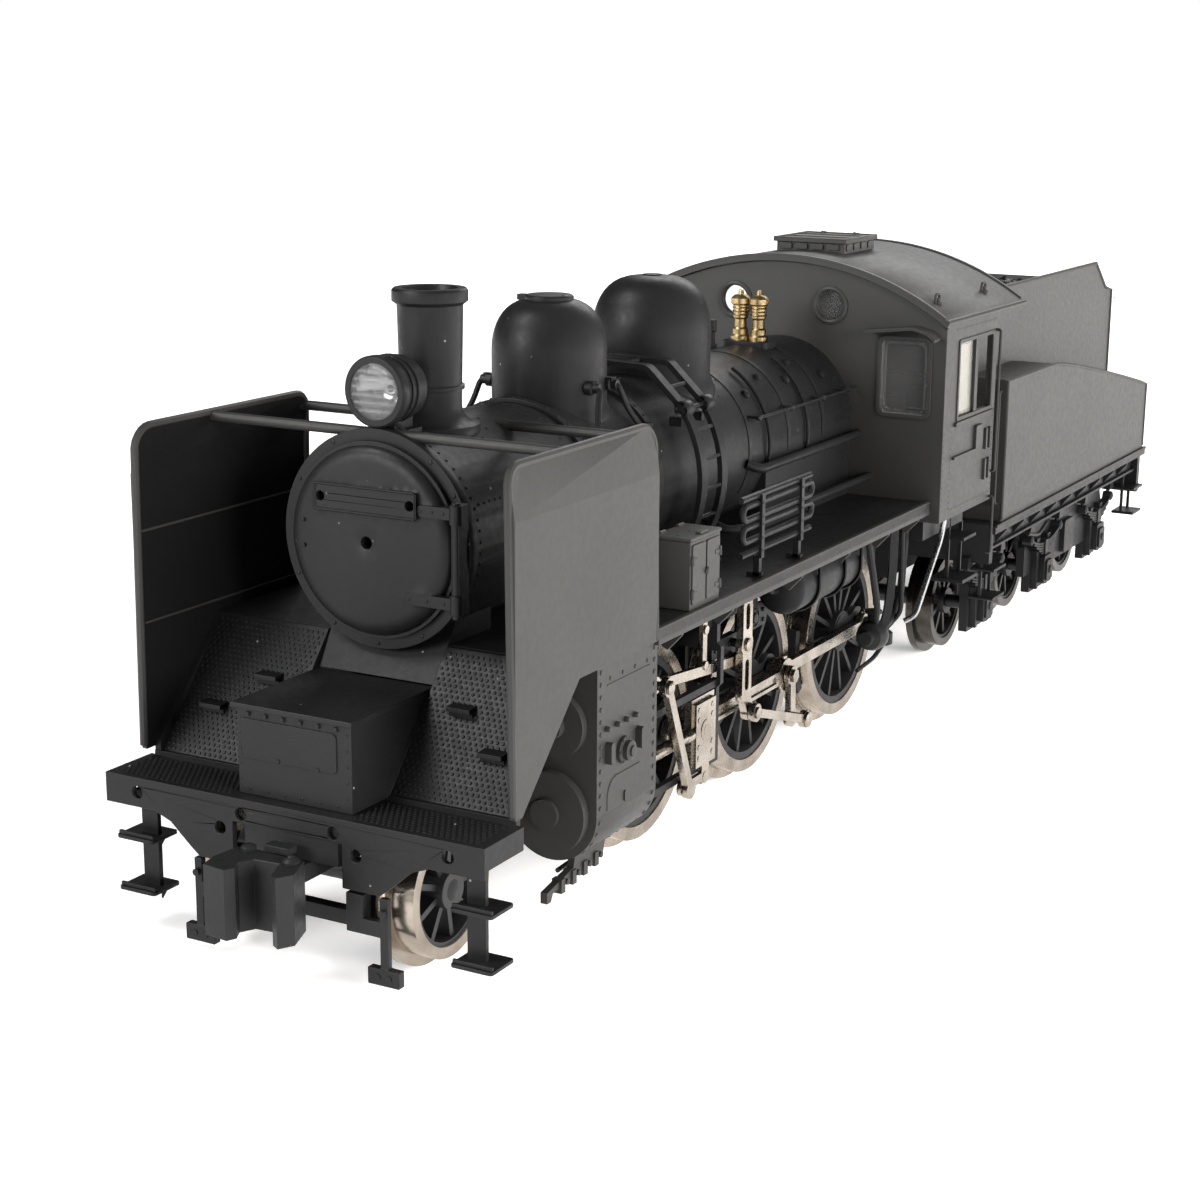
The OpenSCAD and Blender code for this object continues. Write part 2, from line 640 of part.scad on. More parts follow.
module cab_body() color([0.2, 0.2, 0.2]) placed() difference() {
    union() {
        cross_plate(cab_y0, cab_y0 + 0.8) cab_section(0);
        intersection() {
            mirrored() block([cab_x - cab_t, cab_y0, cab_z0], [cab_x, cab_y1, 50]);
            cross_plate(cab_y0, cab_y1) cab_section(0);
        }
        block([-cab_x, cab_y0, cab_z0], [cab_x, cab_y1, cab_z0 + 0.8]);
        block([-7, cab_y0, cab_z0], [7, cab_y0 + 3.6, 34]);
    }
    for (x = [-5.4, 5.4]) {
        barrel([x, 41.6], 1.5, cab_y0 - 1, cab_y0 + 2);
    }
    mirrored() {
        block([11.2, cab_y0 - 1, 31], [16.4, cab_y0 + 2, 38.6]);
        block([cab_x - 2, 90.3, 30.4], [cab_x + 1, 100.4, 38.2]);
    }
}

module cab_roof() color([0.22, 0.22, 0.21]) placed() {
    cross_plate(cab_y0 - 0.5, roof_y1) intersection() {
        difference() {
            translate([0, roof_crown - roof_r]) circle(r = roof_r, $fn = 96);
            translate([0, roof_crown - roof_r]) circle(r = roof_r - roof_t, $fn = 96);
        }
        translate([-roof_x, eave_z - roof_t]) square([2 * roof_x, 20]);
    }
    block([-3.9, 93.3, 45.9], [3.9, 101.5, 47.3]);
    block([-4.2, 93, 47.3], [4.2, 101.8, 47.7]);
}

// ---- couplers and trucks -------------------------------------------------------------------

// Knuckle coupler head and shank; points are [x, y] from the beam face
module coupler() {
    translate([0, 0, coupler_z[0]]) linear_extrude(coupler_z[1] - coupler_z[0])
        polygon([[-3.2, -1.7], [-3.5, -4.2], [-3.1, -5.9], [-1, coupler_tip_y], [-0.6, -5.4],
            [-1.1, -4.4], [-0.5, -3.3], [1.7, -3.1], [2.5, -5.2], [3.2, -5.6], [3.9, -4.4], [2.9, -1.7]]);
    difference() {
        union() {
            block([-1.7, -2.2, shank_z[0]], [1.7, coupler_pivot_y, shank_z[1]]);
            translate([0, coupler_pivot_y, shank_z[0]]) cylinder(r = 1.7, h = shank_z[1] - shank_z[0]);
        }
        translate([0, coupler_pivot_y, 0]) cylinder(r = 0.8 + run_gap, h = 20);
    }
}

module front_coupler() color([0.13, 0.13, 0.13]) placed() coupler();
module rear_coupler() color([0.13, 0.13, 0.13]) placed()
    translate([0, rear_beam_y, 0]) mirror([0, 1, 0]) coupler();

module pony_truck() color([0.14, 0.14, 0.14]) placed() difference() {
    union() {
        mirrored() {
            block([5.2, 0.1, 3.6], [6.7, 12.6, 6.6]);
            block([5.2, 0.1, 3.6], [8.9, 0.6, 4.8]);
            block([8.2, 0.1, 0.6], [8.9, 0.6, 6.7]);
            block([7.1, 0, -0.1], [9.9, 0.7, 1.2]);
        }
        block([-6, 1.4, 3.4], [6, 2.4, 4.6]);
        block([-6, 11.4, 4.6], [6, 12.6, 6.2]);
        block([-2.6, 12, 5], [2.6, pony_pivot_y, 6.2]);
        translate([0, pony_pivot_y, 5]) cylinder(r = 2.6, h = 1.2);
    }
    pin([pony_axle_y, carrier_r], 1 + run_gap, -7, 7);
    translate([0, pony_pivot_y, 0]) cylinder(r = 1.4 + run_gap, h = 10);
}

module drawbar() color("silver") placed() difference() {
    union() {
        block([-1.5, drawbar_front_y, 5.4], [1.5, drawbar_rear_y, 6.4]);
        translate([0, drawbar_front_y, 5.4]) cylinder(r = 2.2, h = 1);
        translate([0, drawbar_rear_y, 5.4]) cylinder(r = 1.9, h = 1);
    }
    translate([0, drawbar_front_y, 0]) cylinder(r = 1.2 + run_gap, h = 10);
    translate([0, drawbar_rear_y, 0]) cylinder(r = 1.2 + run_gap, h = 10);
}

// ---- tender --------------------------------------------------------------------------------

module tender_frame() color([0.14, 0.14, 0.14]) placed() difference() {
    union() {
        block([-17.2, 107.5, 14.9], [17.2, rear_beam_y, 15.88]);
        block([-4.6, 107.6, 8.4], [4.6, 166.8, 14.9]);
        block([-16.6, 166.7, 9.8], [16.6, rear_beam_y, 14.9]);
        block([-16.6, 107.5, 11.4], [16.6, 108.6, 14.9]);
        mirrored() {
            block([12.4, 107.5, 9], [13.4, 122, 14.9]);
            block([12.4, 110.2, 2.6], [13.4, 115.8, 9.5]);
        }
        translate([0, drawbar_rear_y, 5]) cylinder(r = 1.2, h = 4);
        translate([0, bogie_pivot_y, 5.4]) cylinder(r = 1.5, h = 4);
        translate([0, rear_coupler_pivot_y, 6.4]) cylinder(r = 0.8, h = 4);
    }
    pin([tender_axle_1_y, carrier_r], 0.75 + run_gap, -13, 13);
    mirrored() pin([tender_axle_1_y, carrier_r], carrier_r + flange_depth + 0.6, 6.4, 12.3);
    block([-3.4, 166, 5], [3.4, 170, 10.3]);
}

// Side outline of the water tank, with its top curving down behind the bunker mouth
tank_side = concat([[tank_y0, 15.9], [tank_y0, tank_top], [127, tank_top]],
    [for (t = [0.1 : 0.1 : 1]) [127 + t * (tank_y1 - 127), tank_top - 7.2 * pow(t, 1.15)]],
    [[tank_y1, 15.9]]);

module tender_tank() color([0.22, 0.22, 0.21]) placed() difference() {
    union() {
        side_plate(-tank_x, tank_x) polygon(tank_side);
        side_plate(-bunker_x, bunker_x) polygon([[111.5, 20], [111.5, bunker_top],
            [159.5, bunker_top], [164.2, 37.2], [tank_y1, 36.7], [tank_y1, 20]]);
    }
    side_plate(-bunker_x + 0.6, bunker_x - 0.6) polygon([[112.1, 30], [112.1, 50], [163, 50],
        [163, 38.5], [128, 22], [114, 22]]);
    block([-tank_x + 0.8, tank_y0 + 0.8, 15], [tank_x - 0.8, tank_y1 - 0.8, 21]);
}

module coal_load() color([0.05, 0.05, 0.05]) placed()
    side_plate(-bunker_x + 0.7, bunker_x - 0.7) polygon([[112.2, 30.2], [112.2, 36.5], [120, 38.6],
        [135, 39], [150, 38.4], [158, 36.3], [128, 22.2], [114.1, 22.2]]);

module tender_bogie() color([0.14, 0.14, 0.14]) placed() difference() {
    union() {
        mirrored() {
            block([12.4, bogie_pivot_y - 16, 5], [13.4, bogie_pivot_y + 16, 8.6]);
            for (y = [tender_axle_2_y, tender_axle_3_y]) {
                block([12.4, y - 2.6, 2.6], [13.4, y + 2.6, 8.6]);
            }
        }
        block([-13.4, bogie_pivot_y - 2.6, 6], [13.4, bogie_pivot_y + 2.6, 8]);
    }
    for (y = [tender_axle_2_y, tender_axle_3_y]) {
        pin([y, carrier_r], 0.75 + run_gap, -13, 13);
    }
    translate([0, bogie_pivot_y, 0]) cylinder(r = 1.5 + run_gap, h = 10);
}

chassis();
keeper_plate();
keeper_screws();
motor();
worm_shaft();
drive_gear();
ballast_weight();
buffer_beam();
front_deck();
cylinder_lid_box();
smokebox();
smokebox_door();
headlight();
headlight_lens();
chimney();
boiler();
sand_dome();
steam_dome();
running_boards();
left_deflector();
right_deflector();
toolbox();
air_tanks();
left_cylinder();
right_cylinder();
motion_brackets();
radius_rods();
cab_body();
cab_roof();
wheels_1();
wheels_2();
wheels_3();
tyres_1();
tyres_2();
tyres_3();
left_coupling_rod();
right_coupling_rod();
left_main_rod();
right_main_rod();
return_cranks();
left_eccentric_rod();
right_eccentric_rod();
left_crosshead();
right_crosshead();
left_combination_lever();
right_combination_lever();
left_expansion_link();
right_expansion_link();
pony_truck();
pony_wheels();
front_coupler();
drawbar();
tender_frame();
tender_tank();
coal_load();
tender_wheels_1();
tender_bogie();
tender_wheels_2();
tender_wheels_3();
rear_coupler();
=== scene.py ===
import json
import math
import random

import bmesh
import bpy
from mathutils import Matrix, Vector


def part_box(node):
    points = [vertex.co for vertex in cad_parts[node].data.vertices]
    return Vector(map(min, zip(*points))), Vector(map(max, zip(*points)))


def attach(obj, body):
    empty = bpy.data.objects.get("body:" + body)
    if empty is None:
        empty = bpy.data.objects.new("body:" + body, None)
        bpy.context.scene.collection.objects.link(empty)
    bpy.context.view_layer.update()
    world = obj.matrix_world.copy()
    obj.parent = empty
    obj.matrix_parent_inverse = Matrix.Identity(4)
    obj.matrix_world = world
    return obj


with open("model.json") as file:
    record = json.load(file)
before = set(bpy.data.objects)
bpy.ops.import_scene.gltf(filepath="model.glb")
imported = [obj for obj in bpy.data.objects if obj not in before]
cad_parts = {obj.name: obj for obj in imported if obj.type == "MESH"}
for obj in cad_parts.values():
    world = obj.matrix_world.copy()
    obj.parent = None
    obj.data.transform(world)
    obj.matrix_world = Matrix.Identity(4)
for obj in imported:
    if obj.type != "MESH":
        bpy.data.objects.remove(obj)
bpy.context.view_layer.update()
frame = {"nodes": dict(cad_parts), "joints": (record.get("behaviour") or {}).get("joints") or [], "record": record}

MM = 0.001
FLANGE = 0.9  # how far the wheel flanges, the lowest part of the tyres, reach below the rail's top
ORIGIN = Vector((0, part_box("buffer_beam")[0].y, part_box("tyres_1")[0].z + FLANGE * MM))
X, Y, Z = Vector((1, 0, 0)), Vector((0, 1, 0)), Vector((0, 0, 1))


def placed(x, y, z):
    """A place in millimetres, as a point of the frame in metres."""
    return ORIGIN + Vector((x, y, z)) * MM


def edges(node):
    """Lowest and highest corner of a CAD node, in this script's millimetres."""
    lo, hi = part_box(node)
    return (lo - ORIGIN) / MM, (hi - ORIGIN) / MM


def centre(node):
    """Middle of a CAD node's box, in this script's millimetres."""
    lo, hi = edges(node)
    return (lo + hi) / 2


BOILER_Z, BOILER_R = 30.2, 8.0  # the boiler's centre line and radius
SMOKEBOX_R = 8.2
AXLE_Z = 8.75  # the driving axles and the cylinders' centre lines


def radial(angle):
    """Direction outwards from an axis along y; 0 degrees is the engine's left side, 90 is up."""
    a = math.radians(angle)
    return Vector((math.cos(a), 0, math.sin(a)))


def round_boiler(angle, y, r=BOILER_R):
    """A point round the boiler, with the same angles."""
    a = math.radians(angle)
    return Vector((r * math.cos(a), y, BOILER_Z + r * math.sin(a)))


# ---- materials ----

# Each pair is a finish's darkest and lightest colour.
NICKEL = (0.28, 0.24, 0.20), (0.42, 0.37, 0.31)
# Painted shade: near-black steel for the tender wheels' rims, standing in for the shadow under the tender.
SHADED_TENDER_RIM = (0.05, 0.045, 0.04), (0.09, 0.082, 0.072)
BLACK = (0.0085, 0.0085, 0.009), (0.011, 0.011, 0.0115)
# Painted light: a lighter grey copy of the black plastic for the parts whose sides face the key light, standing in
# for their lit sheen.
LIT_SIDE_GREY = (0.0235, 0.0233, 0.0225), (0.0262, 0.0258, 0.0248)
GREY_FINISH = {"rough": (0.44, 0.5), "gloss": 0.28}
DUST = (0.42, 0.41, 0.39)
# Painted shade: the deflectors' inner faces are darker, standing in for the shadow the near deflector and smokebox
# cast there.
INNER_PAINTED_SHADE = (0.006, 0.006, 0.0062)


def node_tree(name):
    material = bpy.data.materials.new(name)
    material.use_nodes = True
    tree = material.node_tree
    shader = tree.nodes["Principled BSDF"]
    coords = tree.nodes.new("ShaderNodeTexCoord")
    return material, tree, shader, coords.outputs["Object"]


def noise(tree, vector, size, detail=3.0, stretch=(1, 1, 1)):
    """Noise whose grains are about size millimetres across."""
    mapping = tree.nodes.new("ShaderNodeMapping")
    mapping.inputs["Scale"].default_value = stretch
    tree.links.new(vector, mapping.inputs["Vector"])
    texture = tree.nodes.new("ShaderNodeTexNoise")
    texture.inputs["Scale"].default_value = 1 / (size * MM)
    texture.inputs["Detail"].default_value = detail
    tree.links.new(mapping.outputs["Vector"], texture.inputs["Vector"])
    return texture.outputs["Fac"]


def between(tree, factor, low, high, start=0.35, end=0.65):
    """Runs from low to high as factor goes from start to end."""
    node = tree.nodes.new("ShaderNodeMapRange")
    node.inputs["From Min"].default_value = start
    node.inputs["From Max"].default_value = end
    node.inputs["To Min"].default_value = low
    node.inputs["To Max"].default_value = high
    tree.links.new(factor, node.inputs["Value"])
    return node.outputs["Result"]


def blend_colour(tree, factor, first, second):
    """Mixes two colours or colour sockets; 6, 7 and 2 are the Mix node's colour sockets."""
    node = tree.nodes.new("ShaderNodeMix")
    node.data_type = "RGBA"
    tree.links.new(factor, node.inputs["Factor"])
    for socket, value in ((6, first), (7, second)):
        if isinstance(value, bpy.types.NodeSocket):
            tree.links.new(value, node.inputs[socket])
        else:
            node.inputs[socket].default_value = (*value, 1)
    return node.outputs[2]


def vector_math(tree, operation, first, second=(0, 0, 0)):
    """The result of a vector maths node on a socket and a fixed vector."""
    node = tree.nodes.new("ShaderNodeVectorMath")
    node.operation = operation
    tree.links.new(first, node.inputs[0])
    node.inputs[1].default_value = second
    return node.outputs["Vector" if operation in ("SUBTRACT", "MULTIPLY") else "Value"]


def add_bump(tree, shader, height, depth):
    node = tree.nodes.new("ShaderNodeBump")
    node.inputs["Strength"].default_value = 1.0
    node.inputs["Distance"].default_value = depth * MM
    tree.links.new(height, node.inputs["Height"])
    tree.links.new(node.outputs["Normal"], shader.inputs["Normal"])


def plastic(name, dark, light, rough=(0.38, 0.48), grain=0.16, depth=0.006, dust=0.0, gloss=0.2):
    """Moulded plastic: cloudy colour, fine grain, uneven gloss, and a few dust specks."""
    material, tree, shader, vector = node_tree(name)
    colour = blend_colour(tree, between(tree, noise(tree, vector, 9), 0, 1), dark, light)
    if dust:
        cells = tree.nodes.new("ShaderNodeTexVoronoi")
        cells.inputs["Scale"].default_value = 1 / (1.7 * MM)
        tree.links.new(vector, cells.inputs["Vector"])
        speck = between(tree, cells.outputs["Distance"], dust, 0, 0.03, 0.07)
        patch = between(tree, noise(tree, vector, 5), 0, 1, 0.5, 0.62)
        both = tree.nodes.new("ShaderNodeMath")
        both.operation = "MULTIPLY"
        tree.links.new(speck, both.inputs[0])
        tree.links.new(patch, both.inputs[1])
        colour = blend_colour(tree, both.outputs[0], colour, DUST)
    tree.links.new(colour, shader.inputs["Base Color"])
    tree.links.new(between(tree, noise(tree, vector, 0.6), *rough), shader.inputs["Roughness"])
    shader.inputs["Specular IOR Level"].default_value = gloss
    add_bump(tree, shader, noise(tree, vector, grain, 2), depth)
    return material


def painted_shade_inside(name, towards):
    """The deflectors' plastic with painted shade: faces that look along towards (an x sign), the inner faces, are
    left dull and darker, standing in for the shadow the near deflector and smokebox cast there.
    """
    material = plastic(name, *LIT_SIDE_GREY, **GREY_FINISH)
    tree = material.node_tree
    shader = tree.nodes["Principled BSDF"]
    normal = tree.nodes.new("ShaderNodeTexCoord").outputs["Normal"]
    inside = between(tree, vector_math(tree, "DOT_PRODUCT", normal, (towards, 0, 0)), 0, 1, 0.3, 0.6)
    outer = shader.inputs["Base Color"].links[0].from_socket
    # Painted shade: the inner faces take the darker colour and less specular sheen.
    tree.links.new(blend_colour(tree, inside, outer, INNER_PAINTED_SHADE), shader.inputs["Base Color"])
    tree.links.new(between(tree, inside, 0.28, 0.1, 0, 1), shader.inputs["Specular IOR Level"])
    return material


def metal(name, dark, light, rough=(0.2, 0.34), depth=0.004, stretch=(1, 1, 1)):
    """Plated or turned metal with faint tool marks and tarnish."""
    material, tree, shader, vector = node_tree(name)
    colour = blend_colour(tree, between(tree, noise(tree, vector, 2.5), 0, 1), dark, light)
    tree.links.new(colour, shader.inputs["Base Color"])
    shader.inputs["Metallic"].default_value = 1
    marks = noise(tree, vector, 0.25, 3, stretch)
    tree.links.new(between(tree, marks, *rough), shader.inputs["Roughness"])
    add_bump(tree, shader, marks, depth)
    return material


def clear(name, tint, rough=0.05, alpha=0.35):
    """Clear moulded plastic, faintly uneven."""
    material, tree, shader, vector = node_tree(name)
    veil = noise(tree, vector, 4)
    tree.links.new(between(tree, veil, rough, rough + 0.06), shader.inputs["Roughness"])
    hazy = tuple(min(1, c * 1.12) for c in tint)
    tree.links.new(blend_colour(tree, veil, tint, hazy), shader.inputs["Base Color"])
    tree.links.new(between(tree, veil, alpha, alpha + 0.06), shader.inputs["Alpha"])
    shader.inputs["IOR"].default_value = 1.49
    add_bump(tree, shader, veil, 0.001)
    return material


def wheel_finish(name, node, web_r, metal_colours, plastic_colours):
    """A metal tyre outside web_r and a plastic spoked centre inside it, told apart by radius."""
    lo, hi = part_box(node)
    axle = (lo + hi) / 2
    material, tree, shader, vector = node_tree(name)
    flat = vector_math(tree, "MULTIPLY", vector_math(tree, "SUBTRACT", vector, axle), (0, 1, 1))
    distance = vector_math(tree, "LENGTH", flat)
    edge = between(tree, distance, 0, 1, (web_r - 0.01) * MM, (web_r + 0.01) * MM)
    cloud = between(tree, noise(tree, vector, 2.5), 0, 1)
    shiny = blend_colour(tree, cloud, *metal_colours)
    dull = blend_colour(tree, cloud, *plastic_colours)
    tree.links.new(blend_colour(tree, edge, dull, shiny), shader.inputs["Base Color"])
    tree.links.new(edge, shader.inputs["Metallic"])
    tree.links.new(between(tree, edge, 0.45, 0.26, 0, 1), shader.inputs["Roughness"])
    add_bump(tree, shader, noise(tree, vector, 0.25, 3), 0.004)
    return material


MATS = {
    "black_plastic": plastic("satin_black", *BLACK, dust=0.5),
    # Painted light: the lighter grey copy of the black plastic, used for the deflectors, cab, tank, toolbox and
    # cylinders.
    "deflector_plastic": plastic("painted_light_grey_black", *LIT_SIDE_GREY, **GREY_FINISH),
    "frame_plastic": plastic("frame_black", (0.008, 0.008, 0.0085), (0.013, 0.013, 0.0135)),
    "wheel_plastic": plastic("wheel_black", (0.008, 0.008, 0.0085), (0.014, 0.014, 0.0145)),
    "coupler_plastic": plastic("coupler_grey", (0.0125, 0.013, 0.0135), (0.0165, 0.017, 0.0175)),
    "zinc_frame": plastic("painted_zinc", (0.012, 0.012, 0.013), (0.02, 0.02, 0.021), (0.5, 0.62)),
    "steel": metal("turned_steel", (0.42, 0.42, 0.43), (0.56, 0.56, 0.57)),
    "motor_can": metal("motor_can", (0.36, 0.37, 0.4), (0.5, 0.51, 0.54), (0.3, 0.45)),
    "brass": metal("brass", (0.62, 0.36, 0.10), (0.86, 0.60, 0.24), (0.16, 0.3)),
    "dull_brass": metal("dull_brass", (0.34, 0.25, 0.13), (0.52, 0.39, 0.2), (0.3, 0.42)),
    "lead_weight": plastic("cast_weight", (0.12, 0.12, 0.13), (0.2, 0.2, 0.21), (0.55, 0.7)),
    "nickel_tyre": metal("tyre_nickel", *NICKEL, stretch=(6, 1, 1)),
    "nickel_rod": metal("rod_nickel", (0.36, 0.32, 0.27), (0.52, 0.47, 0.41), (0.2, 0.34)),
    "lens": clear("lens_clear", (0.3, 0.305, 0.31), 0.04, 0.16),
    "coal": plastic("coal", (0.006, 0.006, 0.006), (0.03, 0.03, 0.031), (0.25, 0.7), 0.9, 0.25),
    "glazing": clear("window_clear", (0.10, 0.10, 0.10), 0.08, 0.2),
    "pale_pane": clear("pale_window", (0.20, 0.195, 0.175), 0.16, 0.62),
    "reflector": metal("reflector", (0.3, 0.3, 0.305), (0.42, 0.42, 0.43), (0.08, 0.14), 0.001),
}

# ---- shapes, in millimetres ----


def box(bm, lo, hi):
    corners = [bm.verts.new((x, y, z)) for x in (lo[0], hi[0]) for y in (lo[1], hi[1])
               for z in (lo[2], hi[2])]
    for side in ((0, 1, 3, 2), (4, 6, 7, 5), (0, 4, 5, 1), (2, 3, 7, 6), (0, 2, 6, 4), (1, 5, 7, 3)):
        bm.faces.new([corners[i] for i in side])


PLACES = {"x": lambda a, b, t: (t, a, b), "y": lambda a, b, t: (a, t, b), "z": lambda a, b, t: (a, b, t)}


def slab(bm, outline, plane, low, high):
    """An outline extruded along x, y or z; its points are (y, z), (x, z) or (x, y)."""
    rings = [[bm.verts.new(PLACES[plane](a, b, t)) for a, b in outline] for t in (low, high)]
    bm.faces.new(rings[0])
    bm.faces.new(rings[1][::-1])
    for i in range(len(outline)):
        j = (i + 1) % len(outline)
        bm.faces.new((rings[0][i], rings[0][j], rings[1][j], rings[1][i]))


def plate(bm, lo, hi, r, plane, low, high, steps=5):
    """A slab with round corners."""
    slab(bm, round_box(lo, hi, r, steps), plane, low, high)


def arc(middle, r, start, end, steps=6):
    """Points of a circular arc, from one angle in degrees to another."""
    angles = [math.radians(start + (end - start) * i / steps) for i in range(steps + 1)]
    return [(middle[0] + r * math.cos(a), middle[1] + r * math.sin(a)) for a in angles]


def round_box(lo, hi, r, steps=5):
    """Outline of a rectangle with round corners."""
    (a0, b0), (a1, b1) = lo, hi
    return (arc((a1 - r, b1 - r), r, 0, 90, steps) + arc((a0 + r, b1 - r), r, 90, 180, steps)
            + arc((a0 + r, b0 + r), r, 180, 270, steps) + arc((a1 - r, b0 + r), r, 270, 360, steps))


def turned(bm, base, axis, profile, sides=24):
    """Turns a profile of (radius, height) points about an axis that starts at base."""
    axis = Vector(axis).normalized()
    side = axis.orthogonal().normalized()
    other = axis.cross(side)
    rings = []
    spin = [2 * math.pi * i / sides for i in range(sides)]
    for r, h in profile:
        middle = Vector(base) + axis * h
        if r < 1e-6:
            rings.append([bm.verts.new(middle)])
            continue
        rings.append([bm.verts.new(middle + (side * math.cos(a) + other * math.sin(a)) * r) for a in spin])
    for first, second in zip(rings, rings[1:]):
        for i in range(sides):
            j = (i + 1) % sides
            if len(first) == 1 and len(second) > 1:
                bm.faces.new((first[0], second[i], second[j]))
            elif len(second) == 1 and len(first) > 1:
                bm.faces.new((first[i], first[j], second[0]))
            elif len(first) > 1:
                bm.faces.new((first[i], first[j], second[j], second[i]))


def cap(r, wall, *steps):
    """Profile of a cap or knob: a wall of radius r, (radius, height) steps, and the top's height."""
    return [(r, 0), (r, wall), *steps[:-1], (0, steps[-1])]


def rod(bm, a, b, r, sides=16):
    span = Vector(b) - Vector(a)
    turned(bm, a, span, [(0, 0), (r, 0), (r, span.length), (0, span.length)], sides)


def filleted(path, r, steps=4):
    """The path with its corners rounded."""
    path = [Vector(p) for p in path]
    made = [path[0]]
    for before, corner, after in zip(path, path[1:], path[2:]):
        u, v = (before - corner), (after - corner)
        cut = min(r, u.length / 2, v.length / 2)
        a, b = corner + u.normalized() * cut, corner + v.normalized() * cut
        for i in range(steps + 1):
            t = i / steps
            made.append(a * (1 - t) ** 2 + corner * 2 * t * (1 - t) + b * t ** 2)
    return made + [path[-1]]


def sweep(bm, path, section, closed=False):
    """Sweeps a section, a list of (across, up) points, along a path; ends are closed flat."""
    path = [Vector(p) for p in path]
    count = len(path)
    tangents = []
    for i in range(count):
        ahead = path[(i + 1) % count] if closed or i < count - 1 else path[i]
        behind = path[i - 1] if closed or i > 0 else path[i]
        tangents.append((ahead - behind).normalized())
    up = tangents[0].orthogonal().normalized()
    if abs(tangents[0].z) < 0.9:
        up = (Z - tangents[0] * tangents[0].z).normalized()
    rings = []
    for point, tangent in zip(path, tangents):
        up = (up - tangent * up.dot(tangent)).normalized()
        across = tangent.cross(up)
        rings.append([bm.verts.new(point + across * a + up * b) for a, b in section])
    pairs = list(zip(rings, rings[1:])) + ([(rings[-1], rings[0])] if closed else [])
    for first, second in pairs:
        for i in range(len(section)):
            j = (i + 1) % len(section)
            bm.faces.new((first[i], first[j], second[j], second[i]))
    if not closed:
        bm.faces.new(rings[0])
        bm.faces.new(rings[-1][::-1])


def tube(bm, path, r, sides=10, closed=False):
    sweep(bm, path, arc((0, 0), r, 0, 360 - 360 / sides, sides - 1), closed)


def pipe(bm, path, bend, r, sides=10):
    """A tube with rounded bends."""
    tube(bm, filleted(path, bend), r, sides)


def staple(bm, a, b, out, bend, r):
    """A handrail between two points of a wall, standing off it by out."""
    a, b = Vector(a), Vector(b)
    pipe(bm, [a, a + out, b + out, b], bend, r, 8)


def strap(bm, path, width, thick):
    """A flat band along a path, width across it and thick upwards."""
    w, t = width / 2, thick / 2
    sweep(bm, path, [(-w, -t), (w, -t), (w, t), (-w, t)])


def rivet(bm, point, axis, r=0.17):
    base = Vector(point) - Vector(axis) * 0.03
    turned(bm, base, axis, [(r, 0), (r * 0.86, r * 0.45), (0, r * 0.75)], 8)


def rivets(bm, a, b, count, axis, r=0.17):
    a, b = Vector(a), Vector(b)
    for i in range(count):
        rivet(bm, a.lerp(b, i / max(1, count - 1)), axis, r)


def bolt(bm, point, axis, r=0.32, h=0.25):
    """A six-sided nut."""
    turned(bm, Vector(point) - Vector(axis) * 0.03, axis, [(r, 0), (r, h), (0, h)], 6)


def flipped(bm):
    """Adds the mirror image of everything in bm on the engine's other side."""
    made = bmesh.ops.duplicate(bm, geom=bm.verts[:] + bm.edges[:] + bm.faces[:])
    verts = [g for g in made["geom"] if isinstance(g, bmesh.types.BMVert)]
    for v in verts:
        v.co.x = -v.co.x
    bmesh.ops.reverse_faces(bm, faces=[g for g in made["geom"] if isinstance(g, bmesh.types.BMFace)])


def piece(name, bm, body="engine", slot="black_plastic", material=None, bevel=0.05, smooth=35,
          both_sides=False):
    """Turns a mesh in millimetres into a finished piece that rides on a body."""
    if both_sides:
        flipped(bm)
    bmesh.ops.recalc_face_normals(bm, faces=bm.faces[:])
    bm.transform(Matrix.Translation(ORIGIN) @ Matrix.Scale(MM, 4))
    mesh = bpy.data.meshes.new(name)
    bm.to_mesh(mesh)
    bm.free()
    mesh.shade_smooth()
    mesh.set_sharp_from_angle(angle=math.radians(smooth))
    obj = bpy.data.objects.new(name, mesh)
    bpy.context.scene.collection.objects.link(obj)
    mesh.materials.append(material or MATS[slot])
    if bevel:
        soften(obj, bevel, 40)
    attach(obj, body)


def soften(obj, width, angle):
    """Breaks the sharp edges, as moulding and plating do."""
    modifier = obj.modifiers.new("edges", "BEVEL")
    modifier.width = width * MM
    modifier.segments = 2
    modifier.limit_method = "ANGLE"
    modifier.angle_limit = math.radians(angle)
    modifier.use_clamp_overlap = True
    modifier.harden_normals = True


# ---- front end ----


def studs(bm, foot, head, low_x, high_x, keep):
    """Raised dots of tread plate between two (y, z) points, in staggered rows, where keep allows."""
    pitch, step = 0.5, 0.43
    span = Vector((0, head[0] - foot[0], head[1] - foot[1]))
    along = span.normalized()
    normal = X.cross(along)
    for row in range(1, int(span.length / step)):
        middle = Vector((0, *foot)) + along * (row * step)
        for i in range(1, int((high_x - low_x) / pitch)):
            point = Vector((low_x + (i + 0.5 * (row % 2)) * pitch, middle.y, middle.z))
            if keep(point):
                turned(bm, point - normal * 0.02, normal, [(0.17, 0), (0.13, 0.09), (0, 0.14)], 6)


